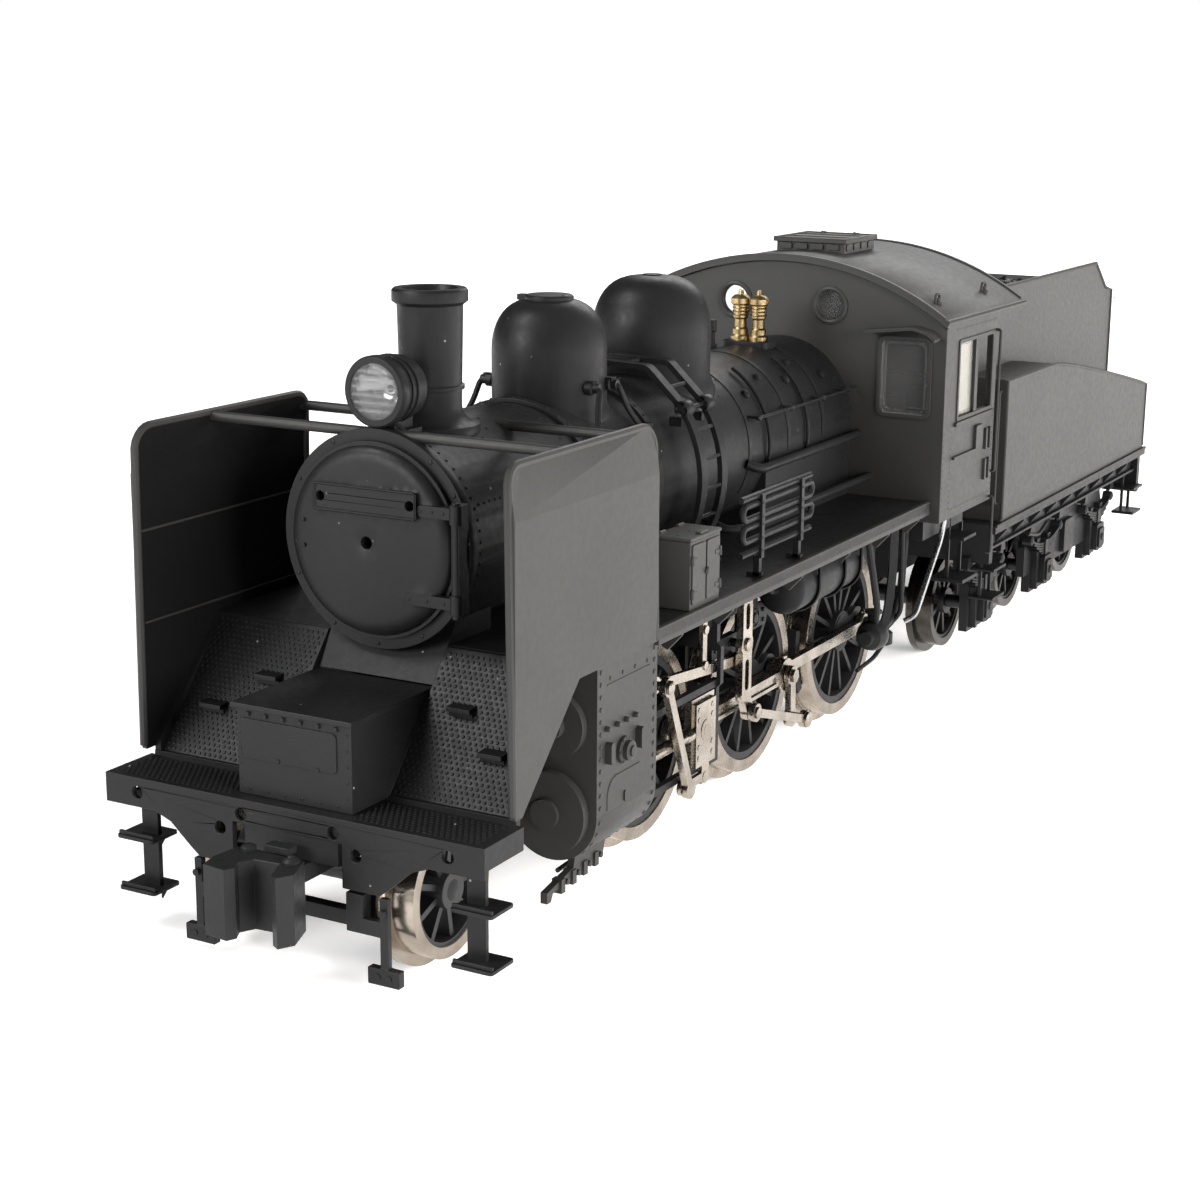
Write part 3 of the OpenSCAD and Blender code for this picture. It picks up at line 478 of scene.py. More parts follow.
def tread_plates():
    deck_lo, deck_hi = edges("front_deck")
    foot, head = (deck_lo.y, deck_lo.z), (deck_hi.y - 0.48, deck_hi.z)
    beam_lo, beam_hi = edges("buffer_beam")
    bm = bmesh.new()
    studs(bm, foot, head, deck_lo.x + 0.3, deck_hi.x - 0.3, lambda p: abs(p.x) > 5.8)
    studs(bm, (0.3, beam_hi.z), (5.3, beam_hi.z), beam_lo.x + 0.3, beam_hi.x - 0.3,
          lambda p: abs(p.x) > 5.7 or p.y < 0.7)
    piece("tread_plate", bm, bevel=0)
    bm = bmesh.new()
    slope = (head[1] - foot[1]) / (head[0] - foot[0])
    for x, y in ((9.0, 10.7), (13.0, 8.7)):
        z = foot[1] + (y - foot[0]) * slope
        slab(bm, [(y + 0.2, z), (y + 0.2, z + 0.05), (y - 1.15, z - 0.05), (y - 1.15, z - 0.4),
                  (y - 0.75, z - 0.45), (y - 0.7, z - 0.9)], "x", x - 1.05, x + 1.05)
    box(bm, (5.6, 5.2, 11.9), (16.75, 5.8, 12.62))
    slab(bm, [(5.3, 12.6), (5.7, 12.5), (13.6, 21.0), (13.6, 22.1), (5.3, 13.4)], "x", 16.2, 16.78)
    piece("deck_ledges", bm, both_sides=True)


def lid_box_details():
    bm = bmesh.new()
    face = edges("cylinder_lid_box")[0].y + 0.4
    panel = ([(-4.7, 15.1), (-4.7, 18.2)] + arc((3.5, 17.8), 0.4, 90, 0, 4)
             + arc((3.5, 15.5), 0.4, 0, -90, 4))
    slab(bm, panel, "y", face - 0.12, face + 0.1)
    for x in (-4.1, -2.5, -0.9, 0.7, 2.3, 3.9):
        box(bm, (x - 0.14, face - 0.2, 18.4), (x + 0.14, face + 0.1, 18.75))
        rivet(bm, (x, face, 12.7), -Y, 0.15)
    for z in (13.4, 14.6, 15.8, 17.0, 18.2):
        rivet(bm, (4.8, face, z), -Y, 0.15)
        rivet(bm, (-4.95, face, z), -Y, 0.12)
    for x, z in ((-1.4, 15.3), (2.2, 15.2)):
        bolt(bm, (x, face - 0.12, z), -Y, 0.2, 0.12)
    piece("lid_box_panel", bm)


def beam_fittings():
    bm = bmesh.new()
    plate(bm, (14.3, 2.0), (15.9, 10.6), 0.25, "y", 2.35, 2.8, 2)
    for z in (6.5, 2.2):
        plate(bm, (13.7, 0.9), (17.3, 4.1), 0.3, "z", z, z + 0.3, 3)
        slab(bm, [(1.1, z + 0.28), (1.1, z + 0.6), (1.35, z + 0.6), (1.35, z + 0.28)], "x", 13.8, 17.2)
        for x in (14.5, 15.7):
            slab(bm, [(2.75, z - 0.9), (2.75, z), (3.7, z)], "x", x - 0.1, x + 0.1)
    box(bm, (14.5, 1.4, 9.9), (15.7, 3.3, 10.7))
    piece("beam_steps", bm, both_sides=True)


def door_details():
    bm = bmesh.new()
    for angle in (52, 118, 30, 150, 205, 240, 270, 300, 330):
        rivet(bm, round_boiler(angle, 12.3, SMOKEBOX_R), -Y, 0.2)
    for z in (31.4, 29.4):
        rivet(bm, (-5.9, 10.95, z), -Y, 0.17)
    face = 10.75
    frame_rim = [(-4.6, 32.5), (4.6, 32.5), (4.6, 34.5), (-4.6, 34.5)]
    for (a, b), (c, d) in zip(frame_rim, frame_rim[1:] + frame_rim[:1]):
        rod(bm, (a, face, b), (c, face, d), 0.13, 8)
    hinge = Vector((8.05, 11.05, 0))
    rod(bm, hinge + Z * 25.2, hinge + Z * 34.1, 0.34, 12)
    for z, start in ((26.3, 3.9), (33.2, 5.0)):
        rod(bm, hinge + Z * (z - 0.75), hinge + Z * (z + 0.75), 0.5, 16)
        turned(bm, (start, 11.2, z), -Y, cap(0.45, 0.3, 0.31), 14)
        rivets(bm, (start, 10.9, z), (7.0, 10.9, z), 3, -Y, 0.15)
    piece("door_fittings", bm)


def smokebox_details():
    bm = bmesh.new()
    for y in (14.3, 30.3):
        for i in range(44):
            angle = -40 + 260 * i / 43
            rivet(bm, round_boiler(angle, y, SMOKEBOX_R), radial(angle), 0.15)
    for angle in (22, 158):
        rivets(bm, round_boiler(angle, 15, SMOKEBOX_R), round_boiler(angle, 29.6, SMOKEBOX_R), 20,
               radial(angle), 0.13)
    piece("smokebox_rivets", bm, bevel=0)
    bm = bmesh.new()
    for y in (31.2, 44.2, 53.2, 62.4, 71.2, 79.5):
        strap(bm, [round_boiler(a, y, BOILER_R + 0.03) for a in range(-30, 211, 6)], 0.7, 0.1)
    piece("boiler_bands", bm, bevel=0)


def headlight_details():
    front, z = edges("headlight")[0].y, 41.6
    bm = bmesh.new()
    profile = [(0.3, 1.45)] + [(2.2 * math.sqrt(t), 1.45 * (1 - t) + 0.15)
                               for t in (0.1, 0.25, 0.45, 0.7, 1)]
    turned(bm, (0, front + 0.65, z), Y, profile, 40)
    piece("headlight_reflector", bm, "engine", "lens", MATS["reflector"], bevel=0)
    bm = bmesh.new()
    turned(bm, (0, front + 2.1, z), -Y, cap(0.32, 0.7, (0.22, 0.95), 1.02), 16)
    piece("headlight_bulb", bm, "engine", "lens", MATS["lens"], bevel=0)
    bm = bmesh.new()
    for rise in (-1.5, -0.9, -0.3, 0.3, 0.9, 1.5):
        half = math.sqrt(2.05 ** 2 - rise ** 2)
        rod(bm, (-half, front + 0.02, z + rise), (half, front + 0.02, z + rise), 0.13, 8)
    piece("headlight_lens_ribs", bm, "engine", "lens", MATS["lens"], bevel=0)
    bm = bmesh.new()
    turned(bm, (0, front - 0.16, z), Y, [(2.2, 0), (2.62, 0), (2.74, 0.15), (2.74, 0.34)], 48)
    for y in (1.3, 2.0):
        turned(bm, (0, front + y, z), Y, [(2.5, 0), (2.68, 0), (2.68, 0.22), (2.5, 0.22)], 48)
    cable = [(1.2, front + 1, z - 2.4), (1.9, front + 1.4, z - 3.2), (2.1, front + 2.6, z - 3.6)]
    tube(bm, cable, 0.18, 8)
    piece("headlight_rings", bm)


def deflector_details():
    lo, hi = edges("left_deflector")
    top, front, rear = hi.z, lo.y, hi.y
    r = 1.6
    outline = ([(front, 13.2)] + arc((front + r, top - r), r, 180, 90, 5)
               + arc((rear - r, top - r), r, 90, 0, 5) + [(rear, 21.4)])

    def x_at(z):
        return hi.x - 0.25 - max(0.0, (z - (top - 3.8)) / 4.8 * 0.7)

    bm = bmesh.new()
    tube(bm, [(x_at(z) + 0.02, y, z) for y, z in outline], 0.33, 8)
    for z in (23.1, 30.4):
        rod(bm, (x_at(z) - 0.25, front + 0.4, z), (x_at(z) - 0.25, rear - 0.3, z), 0.1, 8)
    piece("deflector_beads", bm, "engine", "deflector_plastic", bevel=0.04, both_sides=True)
    bm = bmesh.new()
    for y, z in ((13.3, 38.3), (25.3, 37.6)):
        rod(bm, (-x_at(z), y, z), (x_at(z), y, z), 0.42, 14)
    piece("deflector_stays", bm, "engine", "deflector_plastic")


# ---- boiler ----


def foot_rivets(bm, y, ring, barrel, count, turn, size, reach=math.inf):
    """Rivets in a ring round a dome's or the chimney's foot, on a barrel as far out as reach."""
    for i in range(count):
        a = 2 * math.pi * (i + turn) / count
        x, back = ring * math.cos(a), ring * math.sin(a)
        if abs(x) < reach:
            rise = math.sqrt(barrel ** 2 - x ** 2)
            rivet(bm, (x, y + back, BOILER_Z + rise), Vector((x, 0, rise)).normalized(), size)


def dome_details():
    y, top = centre("sand_dome").y, edges("sand_dome")[1].z
    saddle_r = 8.2
    bm = bmesh.new()
    turned(bm, (0, y, top - 0.35), Z, cap(2.1, 0.45, (1.95, 0.6), 0.68), 32)
    box(bm, (-3.0, y - 0.4, top - 0.35), (-1.9, y + 0.4, top + 0.15))
    rod(bm, (1.7, y - 0.6, top + 0.1), (1.7, y + 0.6, top + 0.1), 0.22, 10)
    piece("sand_dome_lid", bm)
    bm = bmesh.new()
    for half in (-5.9, 5.9):
        path = [round_boiler(a, y + half, saddle_r) for a in range(28, 153, 5)]
        strap(bm, path, 0.9, 0.35)
    for side in (-1, 1):
        base = 90 - side * 52
        strap(bm, [round_boiler(base, y - 6.2, saddle_r), round_boiler(base, y + 6.2, saddle_r)], 0.9, 0.35)
        rivets(bm, round_boiler(base, y - 5.6, 8.4), round_boiler(base, y + 5.6, 8.4), 11, radial(base), 0.16)
    for half in (-5.9, 5.9):
        for i in range(15):
            a = 36 + 108 * i / 14
            rivet(bm, round_boiler(a, y + half, 8.38), radial(a), 0.16)
    piece("sand_dome_saddle", bm)
    bm = bmesh.new()
    for dy in (-1.6, 1.6):
        start = Vector((4.9, y + dy, 39.2))
        path = [start, start + X * 1.0, round_boiler(48, y + dy * 1.6, 9.3)]
        path += [round_boiler(a, y + dy * 2.2, 8.75) for a in range(38, -31, -8)]
        path += [Vector((8.2, y + dy * 3.2, 22.4))]
        pipe(bm, path, 1.0, 0.26)
        turned(bm, start - X * 0.3, X, cap(0.6, 0.6, (0.42, 0.7), (0.42, 1.2), 1.25), 12)
        bolt(bm, start + X * 0.4, Z, 0.35, 0.6)
    piece("sand_pipes", bm, bevel=0, both_sides=True)
    y, top = centre("steam_dome").y, edges("steam_dome")[1].z
    bm = bmesh.new()
    turned(bm, (0, y, top - 0.12), Z, cap(0.9, 0.2, 0.26), 24)
    foot_rivets(bm, y, 6.35, BOILER_R, 16, 0, 0.14, 6.2)
    piece("steam_dome_fittings", bm)


def chimney_details():
    y = centre("chimney").y
    bm = bmesh.new()
    turned(bm, (0, y, 40.9), Z, [(2.5, 0), (2.68, 0.05), (2.68, 0.35), (2.5, 0.4)], 40)
    foot_rivets(bm, y, 4.4, SMOKEBOX_R, 14, 0.5, 0.18)
    piece("chimney_band", bm, bevel=0)


def ladder():
    """Steps over the boiler between the domes, down both sides to the running boards."""
    rails, r = (46.5, 50.5), 10.9
    bm = bmesh.new()
    for y in rails:
        over = [Vector((0, y, 40.1)), Vector((5.4, y, 39.9)), Vector((9.0, y, 36.5))]
        round_part = [round_boiler(a, y, r) for a in range(34, -32, -6)]
        path = filleted(over + round_part[:1], 0.4, 3) + round_part[1:]
        path.append(Vector((round_part[-1].x, y, 22.3)))
        strap(bm, path, 1.15, 0.5)
        turned(bm, (9.0, y - 0.7, 36.5), Y, [(0.65, 0), (0.75, 0.15), (0.75, 1.25), (0.65, 1.4)], 16)
        box(bm, (7.6, y - 0.25, 34.9), (8.8, y + 0.25, 35.7))
        box(bm, (9.4, y - 0.8, 22.2), (10.6, y + 0.8, 22.5))
    for a in (24, 10, -4, -18, -32):
        rod(bm, *(round_boiler(a, y, r) for y in rails), 0.2, 8)
    for x, z in ((2.6, 40.0), (9.0, 36.5), (7.2, 38.2)):
        rod(bm, *((x, y, z) for y in rails), 0.2, 8)
    piece("boiler_ladder", bm, bevel=0.04, both_sides=True)


def safety_valves():
    """Two brass valves on their seat, with the whistle beside them."""
    y, foot = 78.6, 38.0
    column = cap(0.95, 0.9, (0.78, 1.1), (0.78, 1.6), (0.62, 1.8), (0.6, 2.6), (0.76, 2.8), (0.78, 4.0),
                 (0.98, 4.2), (1, 4.7), (0.7, 5.0), (0.28, 5.1), (0.25, 5.5), 5.6)
    bm = bmesh.new()
    for x in (-1, 1):
        turned(bm, (x, y, foot), Z, column, 24)
        for i in range(3):
            turned(bm, (x, y, foot + 3 + i * 0.35), Z, [(0.8, 0), (0.87, 0.08), (0.8, 0.16)], 24)
    piece("safety_valves", bm, "engine", "brass", MATS["dull_brass"], bevel=0)
    bm = bmesh.new()
    plate(bm, (-2.5, y - 1.4), (2.5, y + 1.4), 0.6, "z", 37.4, 38.5)
    whistle = cap(0.5, 0.9, (0.3, 1.1), (0.3, 2.2), (0.45, 2.3), (0.45, 3.4), 3.5)
    turned(bm, (-2.6, y - 3.2, 37.3), Z, whistle, 16)
    piece("safety_valve_seat", bm)


def boiler_pipes():
    """Hand-rails, hoops, washout plugs and long pipes along both sides of the boiler."""
    bm = bmesh.new()
    rail_x, rail_z = 8.6, 33.4
    rod(bm, (rail_x, 62.5, rail_z), (rail_x, 86.3, rail_z), 0.16, 10)
    for y in (63, 70.5, 78, 84.5):
        rod(bm, (7.2, y, rail_z), (rail_x, y, rail_z), 0.13, 8)
        turned(bm, (rail_x - 0.3, y, rail_z), X, [(0, 0), (0.27, 0.1), (0.27, 0.45), (0, 0.55)], 10)
    for y in (66, 75):
        tube(bm, [round_boiler(a, y, 8.35) for a in range(60, -19, -6)], 0.18, 8)
    for y, z, r in ((64.5, 35.2, 0.45), (69, 36.2, 0.4), (74, 35.4, 0.45), (77, 36.6, 0.35), (82, 35, 0.45)):
        x = math.sqrt(BOILER_R ** 2 - (z - BOILER_Z) ** 2)
        n = Vector((x, 0, z - BOILER_Z)).normalized()
        turned(bm, Vector((x, y, z)) - n * 0.2, n, [(r, 0), (r, 0.5), (r * 0.6, 0.65), (0, 0.7)], 12)
    feed = [(9.0, 86.4, 28.6), (9.0, 62.6, 28.6), (8.0, 61.5, 29.2)]
    pipe(bm, feed, 0.9, 0.45, 12)
    drain = [(10.4, 86.4, 24.3), (10.4, 56, 24.3), (9.6, 54, 24.3), (7.4, 54, 25.4)]
    pipe(bm, drain, 1.2, 0.4, 12)
    piece("boiler_pipes", bm, bevel=0, both_sides=True)


def cooling_pipe():
    """The cooler's long loops, held by two strips, on the left board; the right side carries the same."""
    bm = bmesh.new()
    x, r = 16.0, 0.3
    front, rear = 44.0, 58.6
    for low, high in ((25.7, 26.9), (27.6, 28.8)):
        loop = [(x, y, z) for y, z in round_box((front, low), (rear, high), 0.58, 6)]
        tube(bm, loop, r, 10, closed=True)
    for z in (24.6, 29.5):
        rod(bm, (x, front - 0.4, z), (x, rear - 0.4, z), r, 10)
    for y in (47.2, 55.6):
        box(bm, (x + 0.28, y - 0.28, 23.9), (x + 0.52, y + 0.28, 29.6))
        box(bm, (x - 0.9, y - 0.28, 22.25), (x + 0.52, y + 0.28, 22.6))
        box(bm, (x - 0.28, y - 0.28, 22.3), (x + 0.3, y + 0.28, 24.1))
        for z in (24.6, 25.7, 26.9, 27.6, 28.8):
            rivet(bm, (x + 0.5, y, z), X, 0.16)
    piece("cooling_pipes", bm, bevel=0, both_sides=True)


# ---- running boards, cylinders and motion ----


def toolbox_details():
    lo, hi = edges("toolbox")
    bm = bmesh.new()
    x, mid = hi.x - 0.1, (lo.y + hi.y) / 2
    for a, b in ((lo.y + 0.35, mid - 0.12), (mid + 0.12, hi.y - 0.35)):
        plate(bm, (a, lo.z + 0.5), (b, hi.z - 0.6), 0.2, "x", x - 0.1, x + 0.14, 3)
    for y in (lo.y + 0.35, hi.y - 0.35):
        for z in (23.6, 26.4):
            rod(bm, (x + 0.12, y, z - 0.4), (x + 0.12, y, z + 0.4), 0.18, 10)
            near, far = sorted((y, y + (mid - y) * 0.35))
            box(bm, (x, near, z - 0.18), (x + 0.2, far, z + 0.18))
    turned(bm, (x + 0.1, mid, 25.2), X, cap(0.32, 0.16, (0.2, 0.3), 0.34), 16)
    box(bm, (x - 0.6, mid - 0.7, hi.z - 0.02), (x - 0.1, mid + 0.7, hi.z + 0.22))
    for y in (lo.y + 1.2, hi.y - 1.2):
        rod(bm, (lo.x + 0.2, y - 0.5, hi.z), (lo.x + 0.2, y + 0.5, hi.z), 0.2, 8)
    for y in (lo.y + 0.9, mid, hi.y - 0.9):
        rivet(bm, (x - 1.5, y, hi.z), Z, 0.15)
    piece("toolbox_doors", bm, "engine", "deflector_plastic", bevel=0.04)


def board_details():
    bm = bmesh.new()
    box(bm, (16.75, 26.3, 20.9), (17.25, 86.3, 22.3))
    for y in (31, 40.5, 55, 66, 76, 84):
        slab(bm, [(16.9, 21.3), (12.5, 21.3), (12.5, 20.9), (15.6, 19.2), (16.9, 20.6)], "y", y, y + 0.35)
    piece("board_edges", bm, "engine", "deflector_plastic", bevel=0.08, both_sides=True)
    bm = bmesh.new()
    x, z, under = 13.75, 18.7, 21.2  # the air tank's centre line, and the board's underside
    for y in (60.4, 66.5, 70.4):
        round_part = [(a, y, b) for a, b in arc((x, z), 2.55, 0, -180, 18)]
        strap(bm, [(16.3, y, under)] + round_part + [(11.2, y, under)], 0.55, 0.14)
    for y, bend_y, end in ((56.6, 55.2, (x, 54.2, under)), (72.4, 74.4, (12.6, 76.5, under))):
        pipe(bm, [(x, y, z), (x, bend_y, z), end], 0.8, 0.25, 8)
    piece("air_tank_straps", bm, bevel=0, both_sides=True)


def cylinder_covers():
    """Bolts, covers and lubricators on the cylinders' outer faces, with the drain cocks below."""
    hi = edges("left_cylinder")[1]
    x, r = hi.x, 4.1
    x_axis = 12.2
    bm = bmesh.new()
    for y in (18.6, 27.4):
        rivets(bm, (x, y, 9.4), (x, y, 20.4), 12, X, 0.22)
        for angle in (-8, -22, -36, -50, -64, -78):
            rivet(bm, Vector((x_axis, y, AXLE_Z)) + radial(angle) * r, radial(angle), 0.22)
    low = radial(-62)
    start = Vector((x_axis, 19.6, AXLE_Z)) + low * r
    rivets(bm, start, start + Y * 6.9, 7, low, 0.2)
    rivets(bm, (x, 20.1, 19.6), (x, 26.2, 19.6), 4, X, 0.2)
    box(bm, (x - 0.1, 19.6, 19.1), (x + 0.06, 26.6, 19.2))
    box(bm, (x - 0.1, 20.9, 11.35), (x + 0.08, 25.0, 11.47))
    tube(bm, [(x, y, z) for y, z in arc((21.3, 9.9), 1.6, 90, 180, 6)] + [(x, 19.7, 8.9)], 0.07, 6)
    plate(bm, (22.4, 8.9), (22.75, 9.8), 0.15, "x", x - 0.1, x + 0.14, 3)
    for y in (19.6, 24.6):
        plate(bm, (y - 0.32, 12.8), (y + 0.32, 14.6), 0.28, "x", x - 0.1, x + 0.6, 4)
    valve_y, valve_z = 22.2, 13.3
    valve = cap(1.1, 0.3, (0.82, 0.42), (0.82, 0.8), (0.46, 0.9), (0.46, 1.05), 1.1)
    turned(bm, (x, valve_y, valve_z), X, valve, 20)
    for y, z in arc((valve_y, valve_z), 0.95, 0, 300, 5):
        rivet(bm, (x + 0.36, y, z), X, 0.14)
    for y in (19.4, 21.0, 22.5, 24.0):
        turned(bm, (x, y, 15.7), X, cap(0.24, 0.3, (0.16, 0.42), 0.46), 8)
    rod(bm, (x_axis, 27.2, 4.9), (x_axis, 27.2, 3.7), 0.3, 8)
    pipe(bm, [(x_axis, 27.2, 3.8), (x_axis, 22, 3.5), (x_axis, 19, 3.4)], 0.5, 0.2, 8)
    rail = [(14.7, 2.3), (15.3, 2.3), (15.6, 2.9), (23.6, 3.7), (24.0, 4.9), (23.4, 5.3), (19.2, 5.3),
            (18.8, 4.0), (14.7, 3.2)]
    slab(bm, rail, "x", 13.2, 13.8)
    for y in (16.6, 18.4, 20.2, 22.0):
        low = 2.9 + 0.1 * (y - 15.6)
        box(bm, (13.1, y, low - 0.45), (14.0, y + 0.6, low + 0.7))
        turned(bm, (13.8, y + 0.9, low + 0.3), X, cap(0.26, 0.3, 0.4), 8)
    piece("cylinder_covers", bm, "engine", "deflector_plastic", bevel=0, both_sides=True)


def motion_details():
    """The parts of the motion bracket, and the lifting arms, which don't move."""
    bm = bmesh.new()
    arm = [(45.2, 18.6), (53.6, 18.8), (54.0, 18.1), (53.4, 17.5), (46.0, 17.3), (44.0, 15.2), (43.4, 15.3)]
    slab(bm, arm, "x", 12.0, 12.2)
    turned(bm, (11.7, 53.2, 18.2), X, cap(0.8, 0.7, (0.4, 0.8), 0.85), 14)
    gusset = [(52.4, 17.6), (57.8, 17.2), (59.2, 16.4), (58.6, 14.9), (53.0, 14.8), (52.4, 15.4)]
    slab(bm, gusset, "x", 11.45, 11.75)
    boss = cap(1.1, 0.5, (0.8, 0.6), (0.8, 0.45), (0.5, 0.45), (0.5, 0.7), 0.75)
    turned(bm, (11.4, 55.8, 16.0), X, boss, 20)
    for y, z in ((53.3, 16.8), (57.9, 16.4), (58.0, 15.4), (53.6, 15.4)):
        bolt(bm, (11.75, y, z), X, 0.24, 0.2)
    rod(bm, (11.6, 55.9, 17.0), (11.6, 55.9, 21.2), 0.5, 10)
    for y in (47.4, 50.2):
        bolt(bm, (12.0, y, 14.8), X, 0.25, 0.2)
    piece("motion_gussets", bm, "engine", "frame_plastic", both_sides=True)
    bm = bmesh.new()
    for z in (14.35, 17.6):
        turned(bm, (12.5, 44.1, z), X, cap(0.42, 0.3, 0.38), 14)
    turned(bm, (13.93, 34.9, 14.8), X, cap(0.62, 0.18, (0.35, 0.3), 0.33), 16)
    piece("radius_rod_pins", bm, "engine", "nickel_rod", bevel=0.03, both_sides=True)
    bm = bmesh.new()
    turned(bm, (13.53, 51, 14.8), X, cap(0.62, 0.18, (0.35, 0.28), 0.3), 16)
    piece("link_pivot_caps", bm, "engine", "nickel_rod", bevel=0.03, both_sides=True)


def rod_caps():
    """Caps, oil cups and nuts on the moving rods; each set rides on its own body."""
    joints = {j["name"]: (Vector(j["pos_m"]) - ORIGIN) / MM for j in frame["joints"] if "pos_m" in j}
    pitch = edges("tyres_2")[0].y - edges("tyres_1")[0].y
    for side, sign in (("left", 1), ("right", -1)):
        out = X * sign

        def caps(name, body, shapes):
            """One piece of turned shapes; each has its distance out, y, z, axis, profile and sides."""
            bm = bmesh.new()
            for reach, y, z, axis, profile, sides in shapes:
                turned(bm, Vector((0, y, z)) + out * reach, axis, profile, sides)
            piece(side + name, bm, body, "nickel_rod", bevel=0.02)

        pin = joints[side + "_main_rod_pin"]
        coupling = joints[side + "_coupling_rod_pin"]
        disc = cap(0.62, 0.1, (0.4, 0.2), 0.22)
        cup = cap(0.3, 0.3, (0.2, 0.45), 0.48)
        shapes = []
        for y in (coupling.y - pitch, coupling.y + pitch):
            shapes += [(11.13, y, coupling.z, out, disc, 16), (10.7, y, coupling.z + 1.2, Z, cup, 10)]
        caps("_coupling_rod_oil_cups", side + "_coupling_rod_body", shapes)
        front = edges(side + "_main_rod")[0].y + 1.15
        caps("_main_rod_oil_cups", side + "_main_rod_body", [
            (11.6, pin.y, pin.z + 1.5, Z, cap(0.34, 0.35, (0.2, 0.5), 0.53), 10),
            (11.6, front, AXLE_Z + 1, Z, cap(0.3, 0.3, (0.2, 0.42), 0.45), 10)])
        wrist = edges(side + "_crosshead")[1].y - 2.2
        nut = cap(0.8, 0.03, (0.5, 0.05), (0.5, 0.07), 0.07)
        gland = [(0.62, 0), (0.62, 0.9), (0.55, 1.1), (0.55, 1.5)]
        caps("_crosshead_bolts", side + "_crosshead_body", (
            [(13.22, wrist, AXLE_Z, out, nut, 6)]
            + [(13.18, wrist + dy, z, out, cap(0.28, 0.07, 0.1), 8)
               for dy in (-1.3, 1.3) for z in (6.4, 7.4, 9.9, 10.8)]
            + [(12.65, wrist - 2.1, AXLE_Z, -Y, gland, 14)]
            + [(13.16, wrist + dy, z, out, cap(0.5, 0.08, 0.12), 12)
               for dy, z in ((-4.1, 4.5), (0, 4.4))]))
        foot = joints[side + "_eccentric_rod_pin"]
        caps("_link_foot_cap", side + "_expansion_link_body", [
            (14.25, foot.y, foot.z, out, cap(0.55, 0.12, (0.3, 0.2), 0.22), 14)])
        caps("_return_crank_nut", "driving_wheelset_2", [
            (12.72, pin.y, pin.z, out, cap(0.7, 0.25, (0.4, 0.32), 0.34), 6)])
        rod_lo, rod_hi = edges(side + "_eccentric_rod")
        end_z = rod_lo.z + 0.85 if side == "left" else rod_hi.z - 0.85
        caps("_eccentric_rod_cap", side + "_eccentric_rod_body", [
            (14.22, rod_hi.y - 0.85, end_z, out, cap(0.75, 0.2, (0.45, 0.3), 0.32), 16)])


# ---- cab ----


def frame_slab(bm, outer, inner, plane, low, high):
    """A flat ring between two outlines that have the same number of points."""
    loops = [[bm.verts.new(PLACES[plane](a, b, t)) for a, b in outline]
             for outline, t in ((outer, low), (inner, low), (inner, high), (outer, high))]
    for first, second in zip(loops, loops[1:] + loops[:1]):
        for i in range(len(first)):
            j = (i + 1) % len(first)
            bm.faces.new((first[i], first[j], second[j], second[i]))


def roof_z(x):
    """Height of the cab roof's outside."""
    half, rise = edges("cab_roof")[1].x, ROOF_CROWN - ROOF_EAVE
    r = (half * half + rise * rise) / (2 * rise)
    return ROOF_CROWN - r + math.sqrt(r * r - x * x)


ROOF_CROWN, ROOF_EAVE = 46.5, 40.7
PORTHOLE_X, PORTHOLE_Z = 5.4, 41.6


def front_window(grow, r):
    """Outline of the cab's front window, grown on every side."""
    return round_box((11.2 - grow, 31.0 - grow), (16.4 + grow, 38.6 + grow), r)


def cab_glazing():
    front = edges("cab_body")[0].y
    bm = bmesh.new()
    slab(bm, front_window(-0.1, 0.7), "y", front + 0.3, front + 0.45)
    frame_slab(bm, front_window(-0.03, 0.75), front_window(-0.45, 0.6), "y", front - 0.12, front + 0.5)
    outer, inner = round_box((90.4, 30.45), (95.4, 38.15), 0.3), round_box((90.8, 30.85), (95.0, 37.75), 0.3)
    frame_slab(bm, outer, inner, "x", 17.62, 17.9)
    plate(bm, (89.9, 30.5), (91.2, 38.1), 0.3, "x", 17.3, 17.4)
    turned(bm, (PORTHOLE_X, front + 0.3, PORTHOLE_Z), Y, [(0, 0), (1.5, 0), (1.5, 0.15), (0, 0.15)], 28)
    piece("cab_glazing", bm, "engine", "lens", MATS["glazing"], bevel=0.03, both_sides=True)
    bm = bmesh.new()
    plate(bm, (90.5, 30.5), (95.3, 38.1), 0.3, "x", 17.68, 17.83)
    piece("side_panes", bm, "engine", "lens", MATS["pale_pane"], bevel=0.03, both_sides=True)


